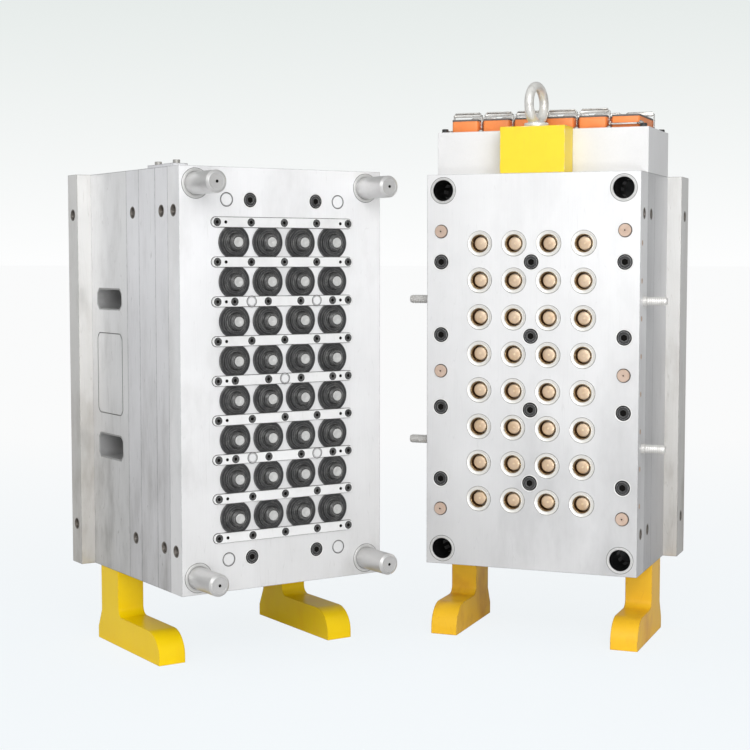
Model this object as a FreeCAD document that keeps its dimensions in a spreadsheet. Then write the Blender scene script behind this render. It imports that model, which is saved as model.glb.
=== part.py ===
"""Bottle cap mould: the moving core half and the fixed cavity half, standing apart on their feet.

Each half is modelled in its own axes: x to the right as its parting face is looked at, y from the
parting face into the half, z up from the floor. A placement then stands each half in the shared frame.
"""
import os
import FreeCAD
import Part
import Sketcher

os.makedirs("parts", exist_ok=True)

DIMENSIONS = {
    # where the two halves stand
    "core_half_x": -62.9,
    "core_half_y": -176,
    "core_half_turn": 55,
    "cavity_half_x": 261,
    "cavity_half_y": 73.3,
    # plates
    "plate_width": 356,
    "plate_height": 646,
    "clamp_width": 404,
    "foot_height": 125,
    "stripper_thickness": 38,
    "core_plate_thickness": 44,
    "cooling_plate_thickness": 58,
    "support_plate_thickness": 46,
    "spacer_depth": 140,
    "spacer_width": 66,
    "core_clamp_thickness": 38,
    "cavity_plate_thickness": 52,
    "nozzle_plate_thickness": 52,
    "manifold_plate_thickness": 104,
    "fixed_clamp_thickness": 60,
    # cavity layout
    "column_pitch": 58,
    "row_pitch": 60,
    # cores and stripper rings
    "core_radius": 12.5,
    "core_reach": 16,
    "core_running_gap": 0.05,
    "core_clearance": 1.5,
    "ring_radius": 26,
    "ring_thickness": 3,
    "ring_flat_gap": 0.3,
    # retaining strips
    "strip_height": 15,
    "strip_overhang": 9,
    "strip_thickness": 3,
    # cavities
    "cavity_radius": 14,
    "cavity_depth": 12,
    # landing buttons
    "landing_button_radius": 10,
    "landing_button_proud": 4,
    "landing_inset_x": 24.5,
    "landing_inset_z": 93,
    # guide pins
    "guide_pin_radius": 17,
    "guide_pin_reach": 69.5,
    "guide_pin_lead": 3,
    "guide_running_gap": 0.05,
    "guide_inset_x": 27.5,
    "guide_inset_z": 26,
    "guide_pocket_clearance": 1,
    "guide_pocket_depth": 26,
    # ejection
    "tie_rod_offset_x": 58,
    "end_fixing_inset": 49,
    "tie_rod_radius": 10,
    "tie_rod_clearance": 0.4,
    "ejector_plate_thickness": 27,
    "ejector_retainer_thickness": 20,
    "ejector_side_gap": 1,
    "ejector_end_gap": 30,
    "stop_rail_thickness": 5,
    "stop_rail_width": 20,
    "knockout_radius": 22,
    # lifting holes in the plate sides
    "lifting_hole_radius": 8.75,
    "lifting_hole_depth": 24,
    "lifting_hole_inset": 66,
    # windows and covers of the spacer blocks
    "window_depth": 96,
    "window_upper_height": 34,
    "window_upper_rise": 120,
    "window_lower_height": 40,
    "window_lower_rise": -120,
    "cover_height": 131,
    "cover_rise": -1,
    "cover_thickness": 6,
    "cover_gap": 0.2,
    "window_corner": 8,
    # strap on top of the fixed core plates
    "strap_width": 25,
    "strap_thickness": 8,
    "strap_inset": 40,
    "strap_front": 75,
    "strap_length": 90,
    # feet
    "foot_width": 45,
    "foot_inset": 1.5,
    "foot_leg_depth": 66,
    "core_foot_leg_front": 239,
    "core_foot_toe": 86,
    "cavity_foot_leg_front": 128,
    "cavity_foot_toe": 20,
    "foot_heel_reach": 14,
    "foot_heel_height": 19,
    "foot_sole_height": 49,
    "foot_toe_round": 38,
    "foot_instep_round": 14,
    # hot runner
    "manifold_width": 220,
    "manifold_height": 500,
    "manifold_thickness": 56,
    "manifold_gap": 14,
    "sprue_bushing_radius": 19,
    "sprue_seat_radius": 10,
    "sprue_seat_depth": 8,
    "sprue_channel_radius": 3,
    "locating_ring_radius": 62.5,
    "locating_ring_bore": 40,
    "locating_ring_thickness": 10,
    "locating_ring_seat_radius": 70,
    "locating_ring_seat_depth": 5,
    # terminal box
    "box_height": 73,
    "box_wall": 8,
    "connector_pitch": 54.5,
    "connector_width": 46,
    "connector_length": 124,
    "connector_height": 19,
    "connector_wall": 4,
    "connector_floor": 5,
    "contact_gap": 3,
    "contact_height": 11,
    # locking levers
    "lever_thickness": 2,
    "lever_strap_width": 6,
    "lever_arm": 24,
    "lever_gap": 0.3,
    "lever_pivot_inset": 18,
    "lever_pivot_height": 8,
    # lifting block and eye bolt
    "lifting_block_width": 108,
    "lifting_block_height": 75,
    "lifting_block_inset": 1,
    "eye_ring_radius": 29,
    "eye_bar_radius": 8,
    "eye_collar_radius": 20,
    "eye_collar_height": 6,
    # water nipples
    "nipple_offset_z": 118,
    "nipple_y": 26,
    "nipple_length": 38,
    "nipple_radius": 7,
    "nipple_bore": 4.5,
}
COLUMNS = 4
ROWS = 8
CONNECTORS = 6

# sides of the outlines that repeat often, which stand in for circles
CORE_SIDES = 16
BORE_SIDES = 10
RING_ARC_SIDES = 5
STRIP_END_SIDES = 6
EYE_SIDES = 16

doc = FreeCAD.newDocument("BottleCapMould")
sheet = doc.addObject("Spreadsheet::Sheet", "Dims")
for row, (alias, value) in enumerate(DIMENSIONS.items(), 1):
    sheet.set(f"A{row}", alias)
    sheet.set(f"B{row}", str(value))
    sheet.setAlias(f"B{row}", alias)
doc.recompute()

VERTICAL = FreeCAD.Vector(0, 0, 1)
BOTTOM = "Dims.foot_height"
TOP = "(Dims.foot_height + Dims.plate_height)"
MIDDLE = "(Dims.foot_height + Dims.plate_height / 2)"
BOX_TOP = f"({TOP} + Dims.box_height)"

# front faces of the plates behind the parting face, core half
CORE_PLATE = "Dims.stripper_thickness"
COOLING_PLATE = f"({CORE_PLATE} + Dims.core_plate_thickness)"
SUPPORT_PLATE = f"({COOLING_PLATE} + Dims.cooling_plate_thickness)"
SPACER = f"({SUPPORT_PLATE} + Dims.support_plate_thickness)"
CORE_CLAMP = f"({SPACER} + Dims.spacer_depth)"
EJECTOR_PLATE = f"({CORE_CLAMP} - Dims.stop_rail_thickness - Dims.ejector_plate_thickness)"
EJECTOR_RETAINER = f"({EJECTOR_PLATE} - Dims.ejector_retainer_thickness)"

# and of the cavity half
NOZZLE_PLATE = "Dims.cavity_plate_thickness"
MANIFOLD_PLATE = f"({NOZZLE_PLATE} + Dims.nozzle_plate_thickness)"
FIXED_CLAMP = f"({MANIFOLD_PLATE} + Dims.manifold_plate_thickness)"
FIXED_BACK = f"({FIXED_CLAMP} + Dims.fixed_clamp_thickness)"

nodes = []


def read(text):
    """Value of an expression on the spreadsheet."""
    return float(sheet.evalExpression(text))


def size(alias):
    return read("Dims." + alias)


def grid(columns, rows, x_step, z_step):
    """Expressions of the places of a pattern centred on the plates."""
    return [(f"{column} * {x_step}", f"{MIDDLE} + {row} * {z_step}") for column in columns for row in rows]


def steps(count):
    """Half-step numbers of a row of copies centred on zero."""
    return [number - (count - 1) / 2 for number in range(count)]


def corners(x_offset, z_offset):
    return grid((-1, 1), (-1, 1), x_offset, z_offset)


CAVITY_PLACES = grid(steps(COLUMNS), steps(ROWS), "Dims.column_pitch", "Dims.row_pitch")
GUIDE_PLACES = corners(
    "(Dims.plate_width / 2 - Dims.guide_inset_x)", "(Dims.plate_height / 2 - Dims.guide_inset_z)",
)
TIE_ROD_PLACES = corners("Dims.tie_rod_offset_x", "(Dims.plate_height / 2 - Dims.end_fixing_inset)")
LANDING_PLACES = grid(
    (-1, 1), (-1, 0, 1), "(Dims.plate_width / 2 - Dims.landing_inset_x)",
    "(Dims.plate_height / 2 - Dims.landing_inset_z)",
)

CORE_HALF = FreeCAD.Placement(
    FreeCAD.Vector(size("core_half_x"), size("core_half_y"), 0),
    FreeCAD.Rotation(VERTICAL, size("core_half_turn")),
)
CAVITY_HALF = FreeCAD.Placement(
    FreeCAD.Vector(size("cavity_half_x"), size("cavity_half_y"), 0),
    FreeCAD.Rotation(VERTICAL, 0),
)


def new_body(name):
    body = doc.addObject("PartDesign::Body", name)
    body.Label = name
    return body


def new_sketch(body, name, role, offset):
    """Sketch on one of the body's origin planes, moved along the plane's normal."""
    sketch = body.newObject("Sketcher::SketchObject", name)
    plane = next(feature for feature in body.Origin.OriginFeatures if feature.Role == role)
    sketch.AttachmentSupport = [(plane, "")]
    sketch.MapMode = "FlatFace"
    sketch.setExpression("AttachmentOffset.Base.z", offset)
    return sketch


def add_bound(sketch, joins, sizes):
    """Add all of an outline's constraints in one step, then bind the sizes to the spreadsheet."""
    first = sketch.ConstraintCount + len(joins)
    values = [Sketcher.Constraint(kind, *place, read(text)) for kind, place, text in sizes]
    sketch.addConstraint(joins + values)
    for index, (kind, place, text) in enumerate(sizes, first):
        sketch.setExpression(f"Constraints[{index}]", text)


def add_polygon(sketch, points):
    """Closed outline whose corners are measured from the sketch's origin."""
    places = [FreeCAD.Vector(read(x), read(y), 0) for x, y in points]
    first = sketch.GeometryCount
    count = len(points)
    sketch.addGeometry([Part.LineSegment(start, end) for start, end in zip(places, places[1:] + places[:1])])
    joins = []
    sizes = []
    for number, (x, y) in enumerate(points):
        line = first + number
        following = first + (number + 1) % count
        joins.append(Sketcher.Constraint("Coincident", line, 2, following, 1))
        sizes.append(("DistanceX", (-1, 1, line, 1), x))
        sizes.append(("DistanceY", (-1, 1, line, 1), y))
    add_bound(sketch, joins, sizes)


def add_rectangle(sketch, left, low, right, high):
    add_polygon(sketch, [(left, low), (right, low), (right, high), (left, high)])


def round_outline(radius, sides, x="0", y="0"):
    """Corners of a regular outline with a side at the top, bottom, left and right."""
    angles = [(number + 0.5) * 360 / sides for number in range(sides)]
    return [(f"{x} + {radius} * cos({angle})", f"{y} + {radius} * sin({angle})") for angle in angles]


def add_circles(sketch, places, radius):
    sizes = []
    for x, y in places:
        centre = FreeCAD.Vector(read(x), read(y), 0)
        circle = sketch.addGeometry(Part.Circle(centre, VERTICAL, read(radius)))
        sizes.append(("Radius", (circle,), radius))
        sizes.append(("DistanceX", (-1, 1, circle, 3), x))
        sizes.append(("DistanceY", (-1, 1, circle, 3), y))
    add_bound(sketch, [], sizes)


def add_pad(body, sketch, length, backwards=False):
    pad = body.newObject("PartDesign::Pad", sketch.Name + "_pad")
    pad.Profile = sketch
    pad.setExpression("Length", length)
    pad.Reversed = backwards
    return pad


def add_pocket(body, sketch, depth, backwards=False):
    """Pocket that must take material away, so a wrong direction is found here."""
    doc.recompute()
    before = body.Shape.Volume
    pocket = body.newObject("PartDesign::Pocket", sketch.Name + "_pocket")
    pocket.Profile = sketch
    pocket.setExpression("Length", depth)
    pocket.Reversed = backwards
    doc.recompute()
    if body.Shape.Volume >= before:
        raise RuntimeError(f"{pocket.Name} cuts nothing")
    return pocket


def new_revolved(name, points):
    """Body turned round its local y axis from an outline of radius and depth."""
    body = new_body(name)
    sketch = new_sketch(body, name + "_outline", "XY_Plane", "0")
    add_polygon(sketch, points)
    turned = body.newObject("PartDesign::Revolution", name + "_turned")
    turned.Profile = sketch
    turned.ReferenceAxis = (sketch, ["V_Axis"])
    turned.Angle = 360
    return body


def add_fillet(body, radius, chosen):
    """Round the edges of the body's last feature whose middle and direction are chosen."""
    doc.recompute()
    base = body.Tip
    names = [
        f"Edge{number}"
        for number, edge in enumerate(base.Shape.Edges, 1)
        if chosen(edge.CenterOfMass, edge.tangentAt(edge.FirstParameter))
    ]
    fillet = body.newObject("PartDesign::Fillet", base.Name + "_round")
    fillet.Base = (base, names)
    fillet.setExpression("Radius", radius)
    return fillet


def new_prism(name, outlines, start, length, role="XZ_Plane"):
    """Body padded away from the parting face, or upwards, from one or more closed outlines."""
    body = new_body(name)
    into_half = role == "XZ_Plane"
    sketch = new_sketch(body, name + "_outline", role, f"-({start})" if into_half else start)
    for outline in outlines:
        add_polygon(sketch, outline)
    add_pad(body, sketch, length, backwards=into_half)
    return body


def rectangle(left, low, right, high):
    return [(left, low), (right, low), (right, high), (left, high)]


def new_plate(name, front, thickness, width="Dims.plate_width"):
    body = new_body(name)
    outline = new_sketch(body, name + "_outline", "XZ_Plane", f"-{front}")
    add_rectangle(outline, f"-{width} / 2", BOTTOM, f"{width} / 2", TOP)
    add_pad(body, outline, thickness, backwards=True)
    return body


def add_bores(body, name, places, radius, start, depth, from_back=False):
    sketch = new_sketch(body, f"{body.Name}_{name}", "XZ_Plane", f"-{start}")
    add_circles(sketch, places, radius)
    return add_pocket(body, sketch, depth, backwards=from_back)


def add_sided_bores(body, name, places, radius, start, depth):
    """Bores with few sides for rods that pass out of sight."""
    sketch = new_sketch(body, f"{body.Name}_{name}", "XZ_Plane", f"-({start})")
    for x, z in places:
        add_polygon(sketch, round_outline(radius, BORE_SIDES, x, z))
    add_pocket(body, sketch, depth)


def add_cavity_pattern(body, name, radius, sides, depth):
    """Pocket at the first cavity place, repeated along the columns and the rows."""
    x, z = CAVITY_PLACES[0]
    sketch = new_sketch(body, f"{body.Name}_{name}", "XZ_Plane", "0")
    add_polygon(sketch, round_outline(radius, sides, x, z))
    pocket = add_pocket(body, sketch, depth)
    pattern = body.newObject("PartDesign::MultiTransform", f"{body.Name}_{name}_pattern")
    pattern.Originals = [pocket]
    directions = []
    for word, axis, pitch, count in (
        ("columns", "H_Axis", "Dims.column_pitch", COLUMNS),
        ("rows", "V_Axis", "Dims.row_pitch", ROWS),
    ):
        direction = body.newObject("PartDesign::LinearPattern", f"{body.Name}_{name}_{word}")
        direction.Direction = (sketch, [axis])
        direction.setExpression("Length", f"{count - 1} * {pitch}")
        direction.Occurrences = count
        directions.append(direction)
    pattern.Transformations = directions
    body.Tip = pattern
    before = pocket.Shape.Volume
    doc.recompute()
    if body.Shape.Volume >= before:
        raise RuntimeError(f"{pattern.Name} cuts nothing")


def add_lifting_holes(body, middle, width="Dims.plate_width"):
    """Tapped holes near both ends of each side of a plate."""
    for side, word in ((1, "right"), (-1, "left")):
        sketch = new_sketch(body, f"{body.Name}_lifting_{word}", "YZ_Plane", f"{side} * {width} / 2")
        for end in (-1, 1):
            height = f"{MIDDLE} + {end} * (Dims.plate_height / 2 - Dims.lifting_hole_inset)"
            add_polygon(sketch, round_outline("Dims.lifting_hole_radius", BORE_SIDES, middle, height))
        add_pocket(body, sketch, "Dims.lifting_hole_depth", backwards=side < 0)


def finish(feature, half):
    """Stand a finished piece in its half and list it for export."""
    feature.Placement = half
    nodes.append(feature)


def finish_copies(name, source, places, half):
    """Node of equal pieces: copies of one body at the places of a pattern."""
    doc.recompute()
    copies = []
    for x, z in places:
        copy = source.Shape.copy()
        copy.translate(FreeCAD.Vector(read(x), 0, read(z)))
        copies.append(copy)
    feature = doc.addObject("Part::Feature", name)
    feature.Label = name
    feature.Shape = Part.makeCompound(copies)
    finish(feature, half)


def middle_of(front, thickness):
    return f"{front} + {thickness} / 2"


# stripper plate: runs on the guide pins and carries the rings and strips
GUIDE_BORE = "(Dims.guide_pin_radius + Dims.guide_running_gap)"
stripper = new_plate("stripper_plate", "0", "Dims.stripper_thickness")
core_hole = "(Dims.core_radius + Dims.core_clearance)"
add_cavity_pattern(stripper, "core_bores", core_hole, BORE_SIDES, "Dims.stripper_thickness")
add_bores(stripper, "guide_bores", GUIDE_PLACES, GUIDE_BORE, "0", "Dims.stripper_thickness")
add_lifting_holes(stripper, middle_of("0", "Dims.stripper_thickness"))
finish(stripper, CORE_HALF)

# stripper rings: round the cores on the plate's face, with flats held between the strips
flat = "(Dims.row_pitch / 2 - Dims.strip_height / 2 - Dims.ring_flat_gap)"
ring_outline = []
for side in (1, -1):
    for number in range(RING_ARC_SIDES + 1):
        share = 2 * number / RING_ARC_SIDES - 1
        angle = f"({share} * asin({flat} / Dims.ring_radius))"
        ring_outline.append(
            (f"{side} * Dims.ring_radius * cos({angle})", f"{side} * Dims.ring_radius * sin({angle})"),
        )
ring_bore = round_outline("(Dims.core_radius + Dims.core_running_gap)", CORE_SIDES)
ring = new_prism("ring_pattern", [ring_outline, ring_bore], "-Dims.ring_thickness", "Dims.ring_thickness")
finish_copies("stripper_rings", ring, CAVITY_PLACES, CORE_HALF)

# cores: stand on the core plate and reach out through the rings
core_length = f"{CORE_PLATE} + Dims.core_reach"
core = new_prism(
    "core_pattern", [round_outline("Dims.core_radius", CORE_SIDES)], "-Dims.core_reach", core_length,
)
finish_copies("cores", core, CAVITY_PLACES, CORE_HALF)

# retaining strips: round-ended bars between the rows of rings
strip_half = f"({COLUMNS / 2} * Dims.column_pitch + Dims.strip_overhang - Dims.strip_height / 2)"
strip_outline = []
for side in (1, -1):
    for number in range(STRIP_END_SIDES + 1):
        angle = 180 * number / STRIP_END_SIDES - 90
        strip_outline.append((
            f"{side} * ({strip_half} + Dims.strip_height / 2 * cos({angle}))",
            f"{side} * Dims.strip_height / 2 * sin({angle})",
        ))
strip = new_prism("strip_pattern", [strip_outline], "-Dims.strip_thickness", "Dims.strip_thickness")
strip_places = [("0", f"{MIDDLE} + {row} * Dims.row_pitch") for row in steps(ROWS + 1)]
finish_copies("retaining_strips", strip, strip_places, CORE_HALF)

# guide pins, pressed into the core plate
pin = new_revolved("guide_pin_pattern", [
    ("0", "-Dims.guide_pin_reach"),
    ("Dims.guide_pin_radius - Dims.guide_pin_lead", "-Dims.guide_pin_reach"),
    ("Dims.guide_pin_radius", "-Dims.guide_pin_reach + Dims.guide_pin_lead"),
    ("Dims.guide_pin_radius", COOLING_PLATE),
    ("0", COOLING_PLATE),
])
finish_copies("guide_pins", pin, GUIDE_PLACES, CORE_HALF)

# tie rods join the stripper plate to the ejector plate behind the fixed plates
rod = new_prism(
    "tie_rod_pattern", [round_outline("Dims.tie_rod_radius", BORE_SIDES)], CORE_PLATE,
    f"{EJECTOR_PLATE} - {CORE_PLATE}",
)
finish_copies("tie_rods", rod, TIE_ROD_PLACES, CORE_HALF)

# fixed plates of the core half
rod_hole = "(Dims.tie_rod_radius + Dims.tie_rod_clearance)"
core_plate = new_plate("core_plate", CORE_PLATE, "Dims.core_plate_thickness")
add_sided_bores(core_plate, "rod_bores", TIE_ROD_PLACES, rod_hole, CORE_PLATE, "Dims.core_plate_thickness")
add_bores(
    core_plate, "pin_bores", GUIDE_PLACES, "Dims.guide_pin_radius", CORE_PLATE, "Dims.core_plate_thickness",
)
add_lifting_holes(core_plate, middle_of(CORE_PLATE, "Dims.core_plate_thickness"))
finish(core_plate, CORE_HALF)

cooling_plate = new_plate("cooling_plate", COOLING_PLATE, "Dims.cooling_plate_thickness")
add_sided_bores(
    cooling_plate, "rod_bores", TIE_ROD_PLACES, rod_hole, COOLING_PLATE, "Dims.cooling_plate_thickness",
)
finish(cooling_plate, CORE_HALF)

support_plate = new_plate("support_plate", SUPPORT_PLATE, "Dims.support_plate_thickness")
add_sided_bores(
    support_plate, "rod_bores", TIE_ROD_PLACES, rod_hole, SUPPORT_PLATE, "Dims.support_plate_thickness",
)
add_lifting_holes(support_plate, middle_of(SUPPORT_PLATE, "Dims.support_plate_thickness"))
finish(support_plate, CORE_HALF)

# spacer blocks: upright risers with two windows and a flush cover on the outer side
window_front = f"({SPACER} + (Dims.spacer_depth - Dims.window_depth) / 2)"
window_back = f"({window_front} + Dims.window_depth)"


def window_outline(height, middle, gap):
    """Rectangle with cut corners, smaller than the window by a gap all round."""
    near = f"({window_front} + {gap})"
    far = f"({window_back} - {gap})"
    low = f"({middle} - {height} / 2 + {gap})"
    high = f"({middle} + {height} / 2 - {gap})"
    corner = "Dims.window_corner"
    return [
        (f"{near} + {corner}", low),
        (f"{far} - {corner}", low),
        (far, f"{low} + {corner}"),
        (far, f"{high} - {corner}"),
        (f"{far} - {corner}", high),
        (f"{near} + {corner}", high),
        (near, f"{high} - {corner}"),
        (near, f"{low} + {corner}"),
    ]


for side, word in ((-1, "left"), (1, "right")):
    spacer = new_body(f"spacer_block_{word}")
    outline = new_sketch(spacer, f"spacer_outline_{word}", "XZ_Plane", f"-{SPACER}")
    outer = f"{side} * Dims.plate_width / 2"
    inner = f"{side} * (Dims.plate_width / 2 - Dims.spacer_width)"
    add_rectangle(outline, inner, BOTTOM, outer, TOP)
    add_pad(spacer, outline, "Dims.spacer_depth", backwards=True)
    for name, height, middle, depth in (
        (
            "upper_window", "Dims.window_upper_height", f"({MIDDLE} + Dims.window_upper_rise)",
            "Dims.spacer_width",
        ),
        (
            "lower_window", "Dims.window_lower_height", f"({MIDDLE} + Dims.window_lower_rise)",
            "Dims.spacer_width",
        ),
        ("cover_seat", "Dims.cover_height", f"({MIDDLE} + Dims.cover_rise)", "Dims.cover_thickness"),
    ):
        sketch = new_sketch(spacer, f"{name}_{word}", "YZ_Plane", f"{side} * Dims.plate_width / 2")
        add_polygon(sketch, window_outline(height, middle, 0))
        add_pocket(spacer, sketch, depth, backwards=side < 0)
    finish(spacer, CORE_HALF)

    cover = new_body(f"spacer_cover_{word}")
    outline = new_sketch(cover, f"cover_outline_{word}", "YZ_Plane", f"{side} * Dims.plate_width / 2")
    add_polygon(
        outline, window_outline("Dims.cover_height", f"({MIDDLE} + Dims.cover_rise)", "Dims.cover_gap"),
    )
    add_pad(cover, outline, "Dims.cover_thickness", backwards=side > 0)
    finish(cover, CORE_HALF)

# ejector plates between the spacer blocks, at rest against the stop rails
ejector_half_width = "(Dims.plate_width / 2 - Dims.spacer_width - Dims.ejector_side_gap)"
ejector_outline = rectangle(
    f"-{ejector_half_width}",
    f"{BOTTOM} + Dims.ejector_end_gap",
    ejector_half_width,
    f"{TOP} - Dims.ejector_end_gap",
)
retainer = new_prism(
    "ejector_retainer_plate", [ejector_outline], EJECTOR_RETAINER, "Dims.ejector_retainer_thickness",
)
add_sided_bores(
    retainer, "rod_bores", TIE_ROD_PLACES, "Dims.tie_rod_radius", EJECTOR_RETAINER,
    "Dims.ejector_retainer_thickness",
)
finish(retainer, CORE_HALF)
ejector = new_prism("ejector_plate", [ejector_outline], EJECTOR_PLATE, "Dims.ejector_plate_thickness")
finish(ejector, CORE_HALF)

rail_outlines = []
for end in (-1, 1):
    middle = f"({MIDDLE} + {end} * (Dims.plate_height / 2 - Dims.end_fixing_inset))"
    rail_outlines.append(rectangle(
        f"-{ejector_half_width}",
        f"{middle} - Dims.stop_rail_width / 2",
        ejector_half_width,
        f"{middle} + Dims.stop_rail_width / 2",
    ))
rail_front = f"({CORE_CLAMP} - Dims.stop_rail_thickness)"
finish(new_prism("stop_rails", rail_outlines, rail_front, "Dims.stop_rail_thickness"), CORE_HALF)

# moving clamp plate: wider than the rest, with the hole for the machine's knock-out rod
core_clamp = new_plate("core_clamp_plate", CORE_CLAMP, "Dims.core_clamp_thickness", "Dims.clamp_width")
add_bores(
    core_clamp, "knockout", [("0", MIDDLE)], "Dims.knockout_radius", CORE_CLAMP, "Dims.core_clamp_thickness",
)
add_lifting_holes(core_clamp, middle_of(CORE_CLAMP, "Dims.core_clamp_thickness"), "Dims.clamp_width")
finish(core_clamp, CORE_HALF)

# strap that ties the fixed core plates together on top
strap_outline = rectangle(
    "-Dims.plate_width / 2 + Dims.strap_inset - Dims.strap_width / 2",
    "Dims.strap_front",
    "-Dims.plate_width / 2 + Dims.strap_inset + Dims.strap_width / 2",
    "Dims.strap_front + Dims.strap_length",
)
finish(new_prism("core_plate_strap", [strap_outline], TOP, "Dims.strap_thickness", "XY_Plane"), CORE_HALF)


def new_foot(name, leg_front, toe):
    """Boot-shaped foot: an upright leg on a sole with a rounded toe."""
    body = new_body(name)
    leg_back = f"({leg_front} + Dims.foot_leg_depth)"
    heel = f"({leg_back} + Dims.foot_heel_reach)"
    sketch = new_sketch(body, name + "_outline", "YZ_Plane", "-Dims.foot_width / 2")
    add_polygon(sketch, [
        (toe, "0"),
        (heel, "0"),
        (heel, "Dims.foot_heel_height"),
        (leg_back, "Dims.foot_sole_height"),
        (leg_back, "Dims.foot_height"),
        (leg_front, "Dims.foot_height"),
        (leg_front, "Dims.foot_sole_height"),
        (toe, "Dims.foot_sole_height"),
    ])
    add_pad(body, sketch, "Dims.foot_width")
    sole = size("foot_sole_height")
    add_fillet(
        body, "Dims.foot_toe_round",
        lambda point, way: abs(way.x) > 0.9 and abs(point.y - read(toe)) < 0.1 and abs(point.z - sole) < 0.1,
    )
    add_fillet(
        body, "Dims.foot_instep_round",
        lambda point, way: (
            abs(way.x) > 0.9 and abs(point.y - read(leg_front)) < 0.1 and abs(point.z - sole) < 0.1
        ),
    )
    return body


FOOT_PLACES = [
    (f"{side} * (Dims.plate_width / 2 - Dims.foot_inset - Dims.foot_width / 2)", "0") for side in (-1, 1)
]
core_foot = new_foot("core_foot_pattern", "Dims.core_foot_leg_front", "Dims.core_foot_toe")
finish_copies("core_half_feet", core_foot, FOOT_PLACES, CORE_HALF)
cavity_foot = new_foot("cavity_foot_pattern", "Dims.cavity_foot_leg_front", "Dims.cavity_foot_toe")
finish_copies("cavity_half_feet", cavity_foot, FOOT_PLACES, CAVITY_HALF)

# cavity plate with its blind cavities, guide bores and landing buttons
cavity_plate = new_plate("cavity_plate", "0", "Dims.cavity_plate_thickness")
add_cavity_pattern(cavity_plate, "cavities", "Dims.cavity_radius", CORE_SIDES, "Dims.cavity_depth")
add_bores(cavity_plate, "guide_bores", GUIDE_PLACES, GUIDE_BORE, "0", "Dims.cavity_plate_thickness")
add_lifting_holes(cavity_plate, middle_of("0", "Dims.cavity_plate_thickness"))
finish(cavity_plate, CAVITY_HALF)
landing = new_prism(
    "landing_pattern",
    [round_outline("Dims.landing_button_radius", BORE_SIDES)],
    "-Dims.landing_button_proud",
    "Dims.landing_button_proud",
)
finish_copies("landing_buttons", landing, LANDING_PLACES, CAVITY_HALF)

# nozzle plate: takes the ends of the guide pins when the mould is shut
nozzle_plate = new_plate("nozzle_plate", NOZZLE_PLATE, "Dims.nozzle_plate_thickness")
pin_pocket = "(Dims.guide_pin_radius + Dims.guide_pocket_clearance)"
add_sided_bores(
    nozzle_plate, "pin_pockets", GUIDE_PLACES, pin_pocket, NOZZLE_PLATE, "Dims.guide_pocket_depth",
)
add_lifting_holes(nozzle_plate, middle_of(NOZZLE_PLATE, "Dims.nozzle_plate_thickness"))
finish(nozzle_plate, CAVITY_HALF)

# manifold plate: frame round the heated block
manifold_plate = new_plate("manifold_plate", MANIFOLD_PLATE, "Dims.manifold_plate_thickness")
chamber = new_sketch(manifold_plate, "manifold_chamber", "XZ_Plane", f"-{FIXED_CLAMP}")
chamber_half_width = "(Dims.manifold_width / 2 + Dims.manifold_gap)"
chamber_half_height = "(Dims.manifold_height / 2 + Dims.manifold_gap)"
add_rectangle(
    chamber,
    f"-{chamber_half_width}",
    f"{MIDDLE} - {chamber_half_height}",
    chamber_half_width,
    f"{MIDDLE} + {chamber_half_height}",
)
add_pocket(manifold_plate, chamber, "Dims.manifold_thickness", backwards=True)
finish(manifold_plate, CAVITY_HALF)

manifold_front = f"({FIXED_CLAMP} - Dims.manifold_thickness)"
manifold = new_body("hot_manifold")
outline = new_sketch(manifold, "manifold_outline", "XZ_Plane", f"-{manifold_front}")
add_rectangle(
    outline,
    "-Dims.manifold_width / 2",
    f"{MIDDLE} - Dims.manifold_height / 2",
    "Dims.manifold_width / 2",
    f"{MIDDLE} + Dims.manifold_height / 2",
)
add_pad(manifold, outline, "Dims.manifold_thickness - Dims.manifold_gap", backwards=True)
finish(manifold, CAVITY_HALF)

# fixed clamp plate with the locating ring and the sprue bushing on the machine's axis
fixed_clamp = new_plate("fixed_clamp_plate", FIXED_CLAMP, "Dims.fixed_clamp_thickness", "Dims.clamp_width")
add_sided_bores(
    fixed_clamp, "sprue_bore", [("0", MIDDLE)], "Dims.sprue_bushing_radius", FIXED_CLAMP,
    "Dims.fixed_clamp_thickness",
)
add_bores(
    fixed_clamp, "ring_seat", [("0", MIDDLE)], "Dims.locating_ring_seat_radius", FIXED_BACK,
    "Dims.locating_ring_seat_depth", from_back=True,
)
add_lifting_holes(fixed_clamp, middle_of(FIXED_CLAMP, "Dims.fixed_clamp_thickness"), "Dims.clamp_width")
finish(fixed_clamp, CAVITY_HALF)

locating_ring = new_body("locating_ring")
ring_sketch = new_sketch(locating_ring, "locating_ring_outline", "XZ_Plane", f"-{FIXED_BACK}")
for radius in ("Dims.locating_ring_radius", "Dims.locating_ring_bore"):
    add_circles(ring_sketch, [("0", MIDDLE)], radius)
add_pad(locating_ring, ring_sketch, "Dims.locating_ring_thickness", backwards=True)
seated_sketch = new_sketch(locating_ring, "locating_ring_seated", "XZ_Plane", f"-{FIXED_BACK}")
for radius in ("Dims.locating_ring_seat_radius", "Dims.locating_ring_bore"):
    add_circles(seated_sketch, [("0", MIDDLE)], radius)
add_pad(locating_ring, seated_sketch, "Dims.locating_ring_seat_depth")
finish(locating_ring, CAVITY_HALF)
sprue_front = f"({FIXED_CLAMP} - Dims.manifold_gap)"
sprue_outlines = [
    round_outline(radius, BORE_SIDES, "0", MIDDLE)
    for radius in ("Dims.sprue_bushing_radius", "Dims.sprue_channel_radius")
]
sprue = new_prism("sprue_bushing", sprue_outlines, sprue_front, f"{FIXED_BACK} - {sprue_front}")
seat = new_sketch(sprue, "sprue_seat", "XZ_Plane", f"-{FIXED_BACK}")
add_polygon(seat, round_outline("Dims.sprue_seat_radius", BORE_SIDES, "0", MIDDLE))
add_pocket(sprue, seat, "Dims.sprue_seat_depth", backwards=True)
finish(sprue, CAVITY_HALF)

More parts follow.
